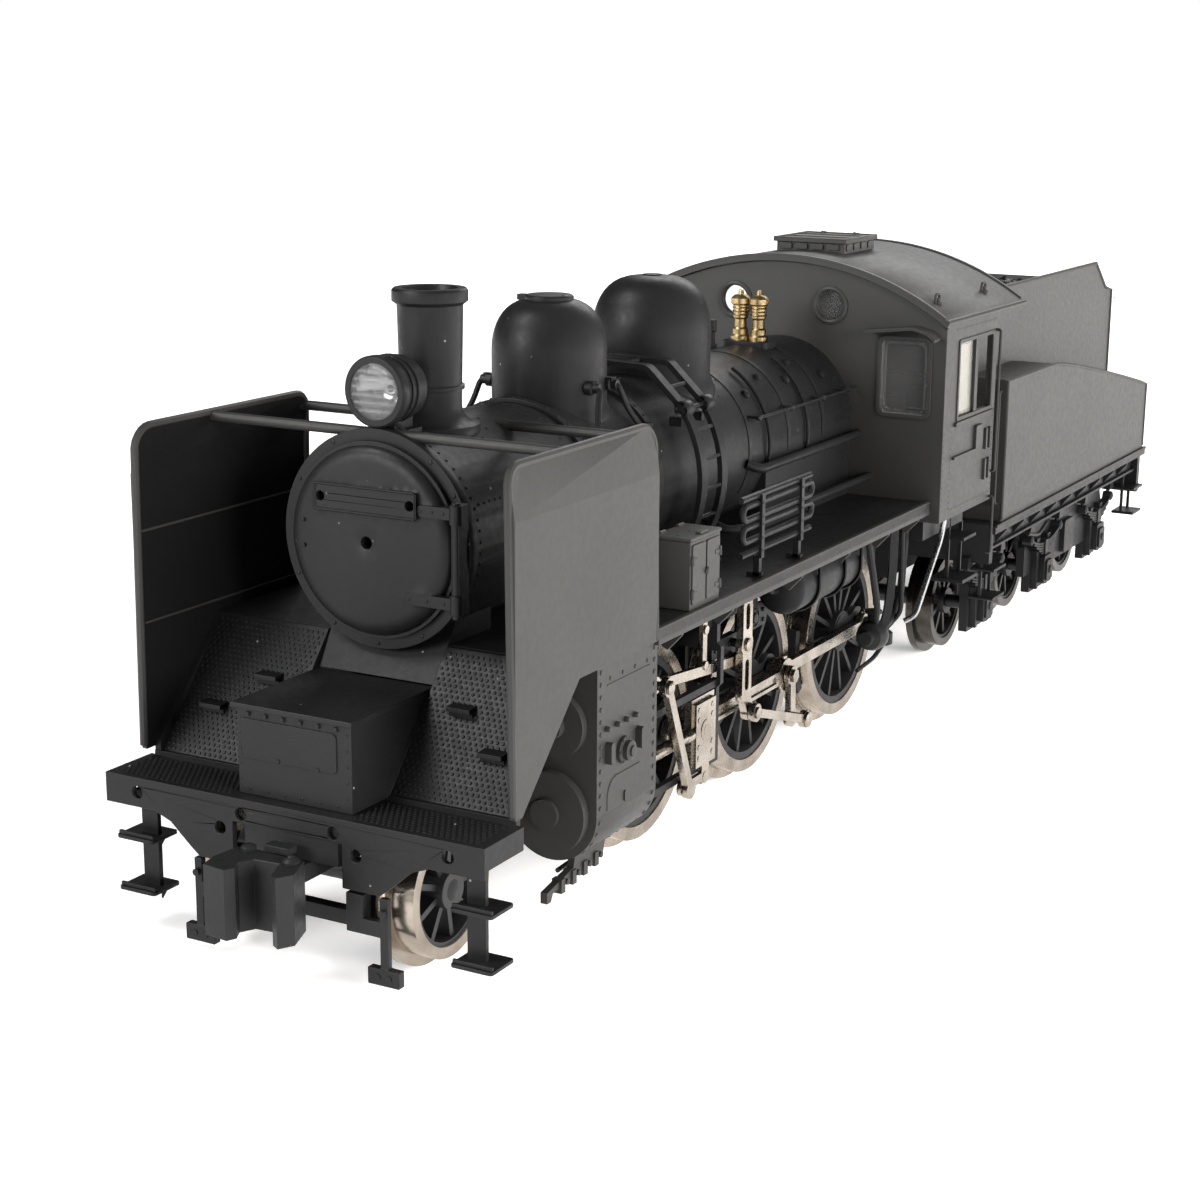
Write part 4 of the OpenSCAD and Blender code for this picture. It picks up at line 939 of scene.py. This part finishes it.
def cab_details():
    lo, hi = edges("cab_body")
    front, side = lo.y, hi.x
    bm = bmesh.new()
    rim = [(1.5, 0), (1.95, 0), (1.95, 0.22), (1.7, 0.34), (1.5, 0.2)]
    turned(bm, (PORTHOLE_X, front + 0.05, PORTHOLE_Z), -Y, rim, 32)
    hood = [(10.1, 39.2), (15.1, 39.8), (16.7, 39.4), (17.5, 38.7), (17.6, 39.0), (16.9, 39.7), (15.2, 40.15),
            (9.9, 39.55)]
    slab(bm, hood, "y", front - 1.9, front + 0.1)
    frame_slab(bm, front_window(0.35, 0.9), front_window(-0.03, 0.75), "y", front - 0.2, front + 0.1)
    outer, inner = round_box((90.05, 30.1), (100.7, 38.5), 0.3), round_box((90.45, 30.5), (100.3, 38.1), 0.25)
    frame_slab(bm, outer, inner, "x", side - 0.1, side + 0.14)
    plate(bm, (95.3, 30.4), (96.2, 38.2), 0.12, "x", 17.62, 18.22, 2)
    plate(bm, (89.6, 29.6), (101.0, 30.05), 0.15, "x", side - 0.1, side + 0.3, 2)
    box(bm, (side - 0.1, 89.4, 26.2), (side + 0.3, 97.7, 26.5))
    plate(bm, (95.7, 26.45), (97.8, 28.9), 0.2, "x", side - 0.1, side + 0.35, 3)
    for z in (25.9, 22.6):
        for y in (99.0, 100.2):
            plate(bm, (y, z), (y + 0.45, z + 2.3), 0.15, "x", side - 0.1, side + 0.3, 3)
    for y in (front + 0.35, 88.9, 101.6):
        rivets(bm, (side, y, 21.2), (side, y, 29.2), 14, X, 0.11)
    for z in (21.0, 39.6):
        rivets(bm, (side, 89.4, z), (side, 101.2, z), 18, X, 0.11)
    slab(bm, [(front, 39.9), (109.6, 39.9), (109.6, 40.3), (front, 40.3)], "x", side - 0.4, side + 0.1)
    piece("cab_trim", bm, "engine", "deflector_plastic", bevel=0.04, both_sides=True)
    bm = bmesh.new()
    y = 101.5
    for low, high in ((23.2, 38.4), (14.2, 20.4)):
        staple(bm, (side, y, low), (side, y, high), X * 0.5, 0.3, 0.16)
    piece("cab_handrails", bm, "engine", "deflector_plastic", bevel=0, both_sides=True)


def roof_details():
    lo, hi = edges("cab_roof")
    bm = bmesh.new()
    for y in (lo.y + 0.25, hi.y - 0.3):
        strap(bm, [(x / 2, y, roof_z(x / 2) + 0.02) for x in range(-36, 37, 2)], 0.5, 0.3)
    for side in (-1, 1):
        tube(bm, [(side * (hi.x - 0.1), y, ROOF_EAVE - 0.1) for y in (lo.y, hi.y)], 0.3, 8)
        for y in (89.2, 103.0):
            base = Vector((side * 16, y, roof_z(16)))
            turned(bm, base - Z * 0.1, Z, cap(0.55, 0.2, (0.3, 0.35), (0.22, 0.6), 0.65), 12)
            staple(bm, base - Y * 0.6, base + Y * 0.6, Z * 0.9, 0.5, 0.15)
    rivets(bm, (-17, 98.2, roof_z(17)), (-17, 108, roof_z(17)), 2, Z, 0.12)
    piece("roof_edges", bm, "engine", "deflector_plastic", bevel=0.03)
    bm = bmesh.new()
    x, y0, y1, top = 4.2, 93.0, 101.8, hi.z
    for i in range(4):
        slat = round_box((y0 + 0.7 + i * 1.95, top - 1.2), (y0 + 2.2 + i * 1.95, top - 0.5), 0.15, 2)
        for low, high in ((x - 0.4, x - 0.16), (0.16 - x, 0.4 - x)):
            slab(bm, slat, "x", low, high)
        slat = round_box((-3.5 + i * 1.8, top - 1.1), (-2.1 + i * 1.8, top - 0.5), 0.15, 2)
        for low, high in ((y0 + 0.06, y0 + 0.35), (y1 - 0.35, y1 - 0.06)):
            slab(bm, slat, "y", low, high)
    inner = round_box((0.4 - x, y0 + 0.4), (x - 0.4, y1 - 0.4), 0.1, 2)
    frame_slab(bm, round_box((-x, y0), (x, y1), 0.1, 2), inner, "z", top - 0.05, top + 0.12)
    for y in (95.8, 98.9):
        box(bm, (0.4 - x, y, top - 0.05), (x - 0.4, y + 0.3, top + 0.1))
    for x in (-1.9, 1.8):
        rod(bm, (x, y1 - 1, top + 0.1), (x, y1 + 0.4, top - 0.1), 0.22, 8)
    piece("roof_ventilator", bm, "engine", "deflector_plastic", bevel=0.03)


def backhead():
    """The boiler's back plate inside the cab, with its dials, doors and handles."""
    face = edges("cab_body")[0].y + 3.6
    bm = bmesh.new()
    plate(bm, (-6.3, 22), (6.3, 33.4), 2.4, "y", face - 0.1, face + 0.35)
    turned(bm, (0, face + 0.3, 25.4), Y, cap(2.3, 0.3, (1.8, 0.5), 0.55), 32)
    box(bm, (-2.7, face + 0.3, 25.1), (2.7, face + 1.0, 25.6))
    regulator = [(-5.5, face + 0.5, 31.5), (0.5, face + 1.2, 30.8), (4.6, face + 1.8, 29.6)]
    pipe(bm, regulator, 0.8, 0.24, 8)
    for x, z in ((-4.6, 27.8), (4.6, 27.8), (-4.4, 23.8), (4.4, 24.0)):
        turned(bm, (x, face + 0.3, z), Y, cap(0.5, 0.5, (0.9, 0.6), (0.9, 0.8), 0.85), 12)
    for x in (-3.2, -1.1, 1.1, 3.2):
        tube(bm, filleted([(x, face + 0.3, 29.3), (x, face + 0.9, 29.3), (x * 1.25, face + 0.9, 33.6),
                           (x * 1.25, face - 1.8, 35.2)], 0.6), 0.2, 8)
    for i in range(18):
        a = 2 * math.pi * i / 18
        rivet(bm, (5.6 * math.cos(a), face + 0.35, 27.8 + 5.0 * math.sin(a)), Y, 0.16)
    for x in (-13, 13):
        plate(bm, (x - 2.4, 20.8), (x + 2.4, 25.2), 0.5, "y", 90.4, 94.6)
        plate(bm, (x - 2.4, 24.0), (x + 2.4, 30.4), 0.8, "y", 94.2, 94.9)
    piece("backhead", bm)
    bm = bmesh.new()
    for x, z, r in ((-2.3, 32.0, 0.95), (0, 32.5, 1.1), (2.3, 32.0, 0.95)):
        turned(bm, (x, face + 0.3, z), Y,
               [(r * 0.82, 0.5), (r, 0.5), (r, 0), (r, 0.62), (r * 0.85, 0.7), (r * 0.82, 0.5)], 24)
    for x in (-4.9, 4.9):
        rod(bm, (x, face + 0.9, 28.9), (x, face + 0.9, 31.2), 0.22, 10)
    piece("cab_gauges", bm, "engine", "brass", bevel=0)


def under_cab():
    """The injector and its pipes under the cab, the cab's steps, and the box over them."""
    bm = bmesh.new()
    feed = [(15, 74.4, 21.0), (15, 75.4, 20.0), (15, 78.5, 12.5), (14.4, 79.6, 10.4)]
    bracket = [(15, 82.4, 20.6), (15, 82.2, 15), (14.8, 81.8, 11.3), (14.0, 81.5, 8.0)]
    delivery = [(15, 84.6, 20.6), (15, 84.8, 15), (15, 85.1, 10.6), (13.2, 85.2, 8.4)]
    steam = [(14, 88.2, 20.2), (14, 87.4, 12.0), (14, 84.5, 9.6), (14, 81.2, 9.2)]
    pipe(bm, feed, 0.8, 0.36)
    strap(bm, filleted(bracket, 0.8), 0.34, 0.9)
    pipe(bm, delivery, 0.8, 0.26)
    pipe(bm, steam, 1.2, 0.4)
    injector = [(0, 0), (0.7, 0.05), (0.8, 0.6), (1.35, 0.9), (1.6, 1.7), (1.6, 2.6), (1.2, 3.3), (0.7, 3.5),
                (0.7, 4.4), (0, 4.5)]
    turned(bm, (14, 77.9, 9.2), Y, injector, 20)
    turned(bm, (14, 80.0, 10.6), Z, cap(0.6, 0.8, (0.9, 0.9), (0.9, 1.2), 1.25), 12)
    turned(bm, (13.2, 85.2, 6.8), Z, [(0.5, 0), (0.9, 0.2), (0.9, 1.4), (0.5, 1.7), (0, 1.75)], 14)
    pipe(bm, [(13.2, 85.2, 7), (12.6, 84, 5.6), (12.2, 80.5, 5.0)], 0.8, 0.24, 8)
    box(bm, (13.0, 88.4, 17.6), (15.8, 100.6, 20.02))
    slab(bm, [(96.2, 11.6), (100.8, 11.6), (100.8, 12.0), (96.2, 12.0)], "x", 13.9, 17.6)
    slab(bm, [(96.6, 16.2), (100.4, 16.2), (100.4, 16.55), (96.6, 16.55)], "x", 14.2, 17.4)
    for y in (96.5, 100.3):
        box(bm, (15.4, y, 11.7), (15.8, y + 0.3, 20.1))
    piece("injector_pipes", bm, bevel=0.03, both_sides=True)
    bm = bmesh.new()
    overflow = [(16.6, 92.6, 19.9), (16.4, 92.3, 17.4), (15.4, 88.2, 9.6), (14.4, 87.6, 9.0)]
    pipe(bm, overflow, 1.0, 0.3)
    piece("injector_overflow", bm, "engine", "steel", bevel=0, both_sides=True)


def brake_gear():
    """Hangers and shoes ahead of each driving wheel, on the frame."""
    bm = bmesh.new()
    r = 8.95
    for n in "123":
        _, y, z = centre("tyres_" + n)
        shoe = arc((y, z), r + 0.05, 168, 208, 6) + arc((y, z), r + 1.0, 208, 168, 6)
        slab(bm, shoe, "x", 8.0, 9.2)
        plate(bm, (y - r - 1.3, z - 2.6), (y - r - 0.7, 15.6), 0.25, "x", 7.4, 8.1, 3)
        rod(bm, (8.0, y - r - 1.0, z - 1.9), (9.5, y - r - 1.0, z - 1.9), 0.35, 10)
    piece("brake_gear", bm, "engine", "frame_plastic", bevel=0.03, both_sides=True)


# ---- tender ----


def spring_set(bm, y):
    """Axle box, leaf spring and hangers of one tender axle, on the left."""
    reach, middle_x = 5.6, 13.95  # the longest leaf's half length, and the spring's centre line
    plate(bm, (y - 1.5, 3.6), (y + 1.5, 7.1), 0.35, "x", 13.3, 14.9, 3)
    plate(bm, (y - 1.1, 4.0), (y + 1.1, 6.5), 0.3, "x", 14.85, 15.15, 3)
    turned(bm, (15.1, y, 5.3), X, [(0.55, 0), (0.45, 0.2), (0, 0.25)], 12)
    for side in (-1, 1):
        slab(bm, [(y + side * 1.5, 3.0), (y + side * 2.1, 3.0), (y + side * 2.6, 9.4), (y + side * 1.5, 9.4)],
             "x", 13.3, 14.2)
    for i in range(5):
        spread = [(reach - i) * t / 6 for t in range(-6, 7)]
        leaf = [(middle_x, y + d, 7.35 + 0.3 * (4 - i) + 1.2 * (d / reach) ** 2) for d in spread]
        strap(bm, leaf, 1.1, 0.26)
    box(bm, (13.3, y - 0.6, 7.0), (14.65, y + 0.6, 9.0))
    for side in (-1, 1):
        end = y + side * reach
        rod(bm, (middle_x, end, 9.4), (middle_x, end, 11.4), 0.26, 8)
        turned(bm, (13.4, end, 9.75), X, cap(0.6, 1.1, (0.3, 1.25), 1.3), 10)
        hanger = [(end - 0.9, 10.7), (end + 0.9, 10.7), (end + 0.5, 12.0), (end - 0.5, 12.0)]
        slab(bm, hanger, "x", 13.4, 14.5)


def tender_running_gear():
    bm = bmesh.new()
    spring_set(bm, centre("tender_wheels_1").y)
    piece("tender_front_springs", bm, "tender", "frame_plastic", bevel=0.04, both_sides=True)
    lo, hi = edges("tender_bogie")
    bm = bmesh.new()
    for n in "23":
        spring_set(bm, centre("tender_wheels_" + n).y)
    middle = centre("tender_bogie").y
    side = [(lo.y, 8.4), (lo.y + 1.2, 11.0), (middle - 3.0, 11.0), (middle - 2.0, 12.2), (middle + 2.0, 12.2),
            (middle + 3.0, 11.0), (hi.y - 1.2, 11.0), (hi.y, 8.4)]
    slab(bm, side, "x", 12.45, 13.35)
    for y in (middle - 3.4, middle + 3.4):
        rivets(bm, (13.35, y, 6.2), (13.35, y, 10.4), 5, X, 0.16)
    plate(bm, (middle - 1.9, 5.4), (middle + 1.9, 9.6), 0.5, "x", 13.3, 14.0, 3)
    piece("bogie_springs", bm, "tender_bogie_body", "frame_plastic", bevel=0.04, both_sides=True)


def tender_frame_details():
    rear = edges("tender_frame")[1].y
    bm = bmesh.new()
    box(bm, (15.2, 108.4, 12.9), (15.7, rear - 0.6, 14.95))
    box(bm, (14.9, 108.4, 12.7), (16.2, rear - 0.6, 13.0))
    box(bm, (16.95, 107.6, 15.6), (17.35, rear - 0.1, 15.95))
    for y in range(112, 166, 6):
        slab(bm, [(15.6, 12.9), (17.0, 14.6), (17.0, 14.95), (15.6, 14.95)], "y", y, y + 0.4)
    for y0 in (107.6, rear - 4.3):
        plate(bm, (y0, 10.5), (y0 + 4.1, 10.85), 0.12, "x", 14.3, 17.2, 2)
        plate(bm, (y0 + 0.1, 7.2), (y0 + 4.0, 7.55), 0.12, "x", 14.3, 17.2, 2)
        for y in (y0 + 0.3, y0 + 3.5):
            box(bm, (15.3, y, 7.3), (15.65, y + 0.35, 14.95))
    pipe(bm, [(16.3, 122, 12.2), (16.3, 126, 11.4), (16.3, 129, 12.4)], 1, 0.22, 8)
    for y in (110.6, 164.2):
        turned(bm, (13.0, y, 13.6), X, cap(0.9, 0.7, (0.5, 0.9), 0.95), 12)
    flipped(bm)
    for x in (-12.6, -9.4, 9.4, 12.6):
        turned(bm, (x, rear - 0.05, 12.4), Y, cap(0.7, 0.3, (0.4, 0.45), 0.5), 12)
    for x in (-6.4, 6.4):
        hose = [(x, rear, 11.4), (x, rear + 0.9, 11.4), (x, rear + 1.1, 8.6), (x, rear + 0.6, 7.6)]
        pipe(bm, hose, 0.6, 0.35)
    rivets(bm, (-16, rear, 14.2), (16, rear, 14.2), 26, Y, 0.13)
    piece("tender_steps", bm, "tender", "frame_plastic", bevel=0.04)


def tank_details():
    """Rims and rails of the tender's tank, its ladder, rear lamp, filler and rivets."""
    lo, hi = edges("tender_tank")
    side, front, rear, top = hi.x, lo.y, hi.y, hi.z
    bunker, shelf = edges("coal_load")[1].x + 0.7, 31.7
    bm = bmesh.new()
    slope = [(127 + t * (rear - 127) / 16, shelf - 7.2 * (t / 16) ** 1.15) for t in range(0, 17)]
    rim = [(front + 0.15, 16.2), (front + 0.15, shelf)] + slope + [(rear - 0.12, 16.2)]
    tube(bm, [(side - 0.05, y, z) for y, z in rim], 0.2, 8)
    tube(bm, [(side - 0.3, front + 0.12, shelf), (bunker, front + 0.12, shelf)], 0.2, 8)
    mouth = [(111.6, top), (159.4, top), (164.1, 37.2), (rear - 0.1, 36.7), (rear - 0.1, 25.5)]
    tube(bm, [(bunker - 0.05, y, z) for y, z in mouth], 0.24, 8)
    tube(bm, [(bunker, 111.6, top), (bunker, 111.6, 31.8)], 0.24, 8)
    flipped(bm)
    for z in (20.5, 25.3, 30.1):
        box(bm, (-side + 1.4, front - 0.12, z), (side - 1.4, front + 0.1, z + 0.22))
    piece("tank_edges", bm, "tender", "deflector_plastic", bevel=0)
    bm = bmesh.new()
    for x in (7.4, 16.3):
        staple(bm, (x, front, 18), (x, front, 30.6), Y * -0.6, 0.3, 0.17)
    flipped(bm)
    box(bm, (-5.0, front - 0.35, 20.5), (5.0, front + 0.1, 29.4))
    for x in (-3.6, 3.6):
        box(bm, (x - 0.4, front - 0.5, 21.2), (x + 0.4, front - 0.3, 28.6))
    turned(bm, (0, 165.4, 36.6), Z, cap(1.5, 0.5, (1.35, 0.65), 0.8), 28)
    box(bm, (-0.35, 163.8, 36.9), (0.35, 167.0, 37.25))
    for x in (-11.6, -8.6):
        ladder_rail = [(x, rear, 18), (x, rear + 0.7, 18), (x, rear + 0.7, 37.6), (x, rear - 0.6, 37.6)]
        pipe(bm, ladder_rail, 0.4, 0.2, 8)
    for z in (19.5, 22.5, 25.5, 28.5, 31.5, 34.5):
        rod(bm, (-11.6, rear + 0.7, z), (-8.6, rear + 0.7, z), 0.16, 8)
    for x in (-5.2, 5.2):
        plate(bm, (x - 0.7, 20.2), (x + 0.7, 22.2), 0.3, "y", rear - 0.1, rear + 0.4, 3)
        turned(bm, (x, rear + 0.3, 21.2), Y, cap(0.65, 0.5, (0.5, 0.6), 0.5), 18)
    rear_lamp = cap(1.7, 1.2, (1.85, 1.25), (1.85, 1.6), (1.5, 1.6), (1.4, 1.3), 1.2)
    turned(bm, (0, rear - 0.1, 34.2), Y, rear_lamp, 28)
    box(bm, (-0.6, rear - 0.1, 31.6), (0.6, rear + 0.8, 32.8))
    plate(bm, (-4.4, 26.8), (4.4, 29.0), 0.25, "y", rear - 0.1, rear + 0.22, 3)
    for x in (4.0, 10.0):
        staple(bm, (x, rear, 24.6), (x + 3, rear, 24.6), Y * 0.5, 0.3, 0.14)
    piece("tank_fittings", bm, "tender", "deflector_plastic", bevel=0.03)
    bm = bmesh.new()
    for z in (17.2, 24.2):
        rivets(bm, (side, front + 1.2, z), (side, rear - 1.2, z), 64, X, 0.055)
    flipped(bm)
    for z in (17.4, 25.2, 35.6):
        rivets(bm, (-12, rear, z), (12, rear, z), 30, Y, 0.1)
    piece("tank_rivets", bm, "tender", "deflector_plastic", bevel=0)


def coal_lumps():
    """Loose lumps over the coal load's top, the same ones each run."""
    lo, hi = edges("coal_load")
    crest = [(lo.y + 0.4, 36.5), (120, 38.6), (135, 39.0), (150, 38.4), (157.6, 36.3)]
    dice = random.Random(7)
    bm = bmesh.new()
    y = lo.y + 0.9
    while y < 157.2:
        x = lo.x + 0.9
        while x < hi.x - 0.8:
            here = y + dice.uniform(-0.5, 0.5)
            for (y0, z0), (y1, z1) in zip(crest, crest[1:]):
                if y0 <= here <= y1:
                    z = z0 + (z1 - z0) * (here - y0) / (y1 - y0)
            size = dice.uniform(0.65, 1.15)
            made = bmesh.ops.create_icosphere(bm, subdivisions=1, radius=size)
            turn = Matrix.Rotation(dice.uniform(0, 6.28), 4,
                                   Vector((dice.random(), dice.random(), 1)).normalized())
            for v in made["verts"]:
                v.co = turn @ (v.co * dice.uniform(0.72, 1.12))
                v.co.z *= 0.8
                v.co += Vector((x + dice.uniform(-0.3, 0.3), here, z + dice.uniform(-0.25, 0.35)))
            x += dice.uniform(1.0, 1.5)
        y += 1.25
    piece("coal_lumps", bm, "tender", "coal", bevel=0, smooth=15)


# ---- couplers and trucks ----


def coupler_details(name, body, node, back):
    """Knuckle pin, lifting lug and jaw ribs on a coupler head; back is the way to the vehicle."""
    lo, hi = edges(node)
    tip = lo.y if back > 0 else hi.y
    bm = bmesh.new()
    tall = hi.z - lo.z + 0.35
    knuckle_pin = [(0.7, 0), (0.7, tall), (0.5, tall + 0.2), (0.25, tall + 0.3), (0.25, tall + 0.4),
                   (0, tall + 0.45)]
    turned(bm, (2.3, tip + back * 3.7, lo.z - 0.2), Z, knuckle_pin, 16)
    turned(bm, (-2.1, tip + back * 4.4, hi.z - 0.1), Z, cap(0.6, 0.35, (0.35, 0.5), 0.55), 14)
    a, b = sorted((tip + back * 5.9, tip + back * 4.8))
    box(bm, (-1.0, a, hi.z - 0.1), (1.2, b, hi.z + 0.45))
    a, b = sorted((tip + back * 1.6, tip + back * 4.6))
    for z in (lo.z + 1.2, hi.z - 1.7):
        box(bm, (-3.65, a, z), (-3.1, b, z + 0.45))
    piece(name, bm, body, "coupler_plastic", bevel=0.1)


def pony_details():
    _, y, z = centre("pony_wheels")
    side = edges("pony_wheels")[1].x
    bm = bmesh.new()
    for bolt_x in (8.0, 9.0):
        bolt(bm, (bolt_x, 0.02, 0.55), -Y, 0.26, 0.12)
    rod(bm, (8.55, 0.1, 5.6), (8.55, -0.25, 5.6), 0.3, 8)
    piece("guard_iron_bolts", bm, "pony_truck_body", "frame_plastic", bevel=0, both_sides=True)
    bm = bmesh.new()
    turned(bm, (side - 0.15, y, z), X, cap(0.95, 0.12, (0.5, 0.24), 0.26), 20)
    piece("pony_hub_caps", bm, "pony_wheelset", "wheel_plastic", bevel=0, both_sides=True)


# ---- everything together ----

for build in (tread_plates, lid_box_details, beam_fittings, door_details, smokebox_details, headlight_details,
              deflector_details, dome_details, chimney_details, ladder, safety_valves, boiler_pipes,
              cooling_pipe, toolbox_details, board_details, cylinder_covers, motion_details, rod_caps,
              cab_glazing, cab_details, roof_details, backhead, under_cab, brake_gear, tender_running_gear,
              tender_frame_details, tank_details, coal_lumps):
    build()
coupler_details("front_coupler_fittings", "front_coupler_body", "front_coupler", 1)
coupler_details("rear_coupler_fittings", "rear_coupler_body", "rear_coupler", -1)
pony_details()

# Nodes whose looks differ from their material slot's: the lighter grey plastic as painted light, painted shade on
# the deflectors' inner faces, or metal rims (near black on the tender wheels as painted shade).
LIT_SIDE_PARTS = ("cab_body", "cab_roof", "tender_tank", "toolbox", "left_cylinder", "right_cylinder")
# Deflectors whose inner faces, looking along these x signs, carry painted shade.
INWARD = {"left_deflector": -1, "right_deflector": 1}
# The tender wheels' rims take the near-black steel as painted shade.
CARRIER_RIMS = {"pony_wheels": NICKEL, "tender_wheels_1": SHADED_TENDER_RIM, "tender_wheels_2": SHADED_TENDER_RIM,
                "tender_wheels_3": SHADED_TENDER_RIM}
WEB_R = 4.4  # radius of the plastic centre in the carrying wheels
for entry in frame["record"]["subparts"]:
    name = entry["node"]
    node = frame["nodes"][name]
    material = MATS[entry["material_slot"]]
    # Painted light: the parts whose sides face the key light take the lighter grey plastic.
    if name in LIT_SIDE_PARTS:
        material = MATS["deflector_plastic"]
    # Painted shade on the deflectors' inner faces.
    if name in INWARD:
        material = painted_shade_inside(name + "_look", INWARD[name])
    if name in CARRIER_RIMS:
        material = wheel_finish(name + "_look", name, WEB_R, CARRIER_RIMS[name], BLACK)
    node.data.materials.clear()
    node.data.materials.append(material)
    weld = node.modifiers.new("weld", "WELD")
    weld.merge_threshold = 1e-6
    soften(node, 0.07, 30)

# ---- floor, light and camera ----

VIEW_TURNS = 28.952, 13.849, 0.412  # azimuth, elevation and roll in degrees
VIEW_FROM = 95.016, -123.976, 66.308
VIEW_LENS = 66.168


def lamp(name, place, aim, size, watts, tint=(1, 1, 1), mirrored=True):
    data = bpy.data.lights.new(name, "AREA")
    data.shape = "RECTANGLE"
    data.size, data.size_y = size
    data.energy = watts
    data.color = tint
    obj = bpy.data.objects.new(name, data)
    obj.location = place
    obj.visible_glossy = mirrored
    obj.rotation_euler = (Vector(aim) - Vector(place)).to_track_quat("-Z", "Y").to_euler()
    bpy.context.scene.collection.objects.link(obj)


def floor():
    """A pale floor, wide enough to run out of every view."""
    reach = 12.0
    bm = bmesh.new()
    bm.faces.new([bm.verts.new((x * reach, y * reach, 0)) for x, y in ((-1, -1), (1, -1), (1, 1), (-1, 1))])
    mesh = bpy.data.meshes.new("studio_floor")
    bm.to_mesh(mesh)
    bm.free()
    obj = bpy.data.objects.new("studio_floor", mesh)
    bpy.context.scene.collection.objects.link(obj)
    material, tree, shader, vector = node_tree("white_paper")
    paper = blend_colour(tree, noise(tree, vector, 60), (0.90, 0.90, 0.90), (0.93, 0.93, 0.93))
    tree.links.new(paper, shader.inputs["Base Color"])
    tree.links.new(paper, shader.inputs["Emission Color"])
    glow = between(tree, vector_math(tree, "LENGTH", vector), 0.4, 1.06, 0.2, 1.0)
    tree.links.new(glow, shader.inputs["Emission Strength"])
    shader.inputs["Roughness"].default_value = 0.9
    mesh.materials.append(material)


def studio():
    """Soft light from the engine's left, little from above, and a white surround."""
    world = bpy.data.worlds.new("studio")
    world.use_nodes = True
    tree = world.node_tree
    background = tree.nodes["Background"]
    background.inputs["Color"].default_value = (1, 1, 1, 1)
    seen = tree.nodes.new("ShaderNodeLightPath").outputs["Is Camera Ray"]
    tree.links.new(between(tree, seen, 0.06, 1.0, 0, 1), background.inputs["Strength"])
    bpy.context.scene.world = world
    bpy.context.scene.view_settings.view_transform = "Standard"
    warm = (1, 0.965, 0.935)
    lamp("key", (0.75, 0.6, 0.25), (0, 0, 0.03), (0.9, 0.4), 23, warm, mirrored=False)
    lamp("side", (0.8, -0.25, 0.2), (0, 0, 0.03), (0.5, 0.3), 14, warm, mirrored=False)
    lamp("rear_top", (-0.15, 0.8, 0.5), (0, 0.02, 0.04), (0.6, 0.4), 2.8)
    lamp("front_fill", (-0.4, -0.85, 0.3), (0, -0.06, 0.03), (0.5, 0.3), 7)
    lamp("deck_fill", (-0.45, -0.45, 0.75), (0, -0.07, 0.02), (0.35, 0.35), 5)


def camera():
    data = bpy.data.cameras.new("camera")
    data.sensor_width = 36
    data.lens = VIEW_LENS
    data.clip_start = 0.005
    obj = bpy.data.objects.new("camera", data)
    azimuth, elevation, roll = (math.radians(a) for a in VIEW_TURNS)
    ahead = Vector((-math.sin(azimuth) * math.cos(elevation), math.cos(azimuth) * math.cos(elevation),
                    -math.sin(elevation)))
    right = Vector((math.cos(azimuth), math.sin(azimuth), 0))
    up = right.cross(ahead)
    right, up = (right * math.cos(roll) + up * math.sin(roll), up * math.cos(roll) - right * math.sin(roll))
    turn = Matrix((right, up, -ahead)).transposed()
    obj.matrix_world = Matrix.Translation(placed(*VIEW_FROM)) @ turn.to_4x4()
    bpy.context.scene.collection.objects.link(obj)
    bpy.context.scene.camera = obj


floor()
studio()
camera()
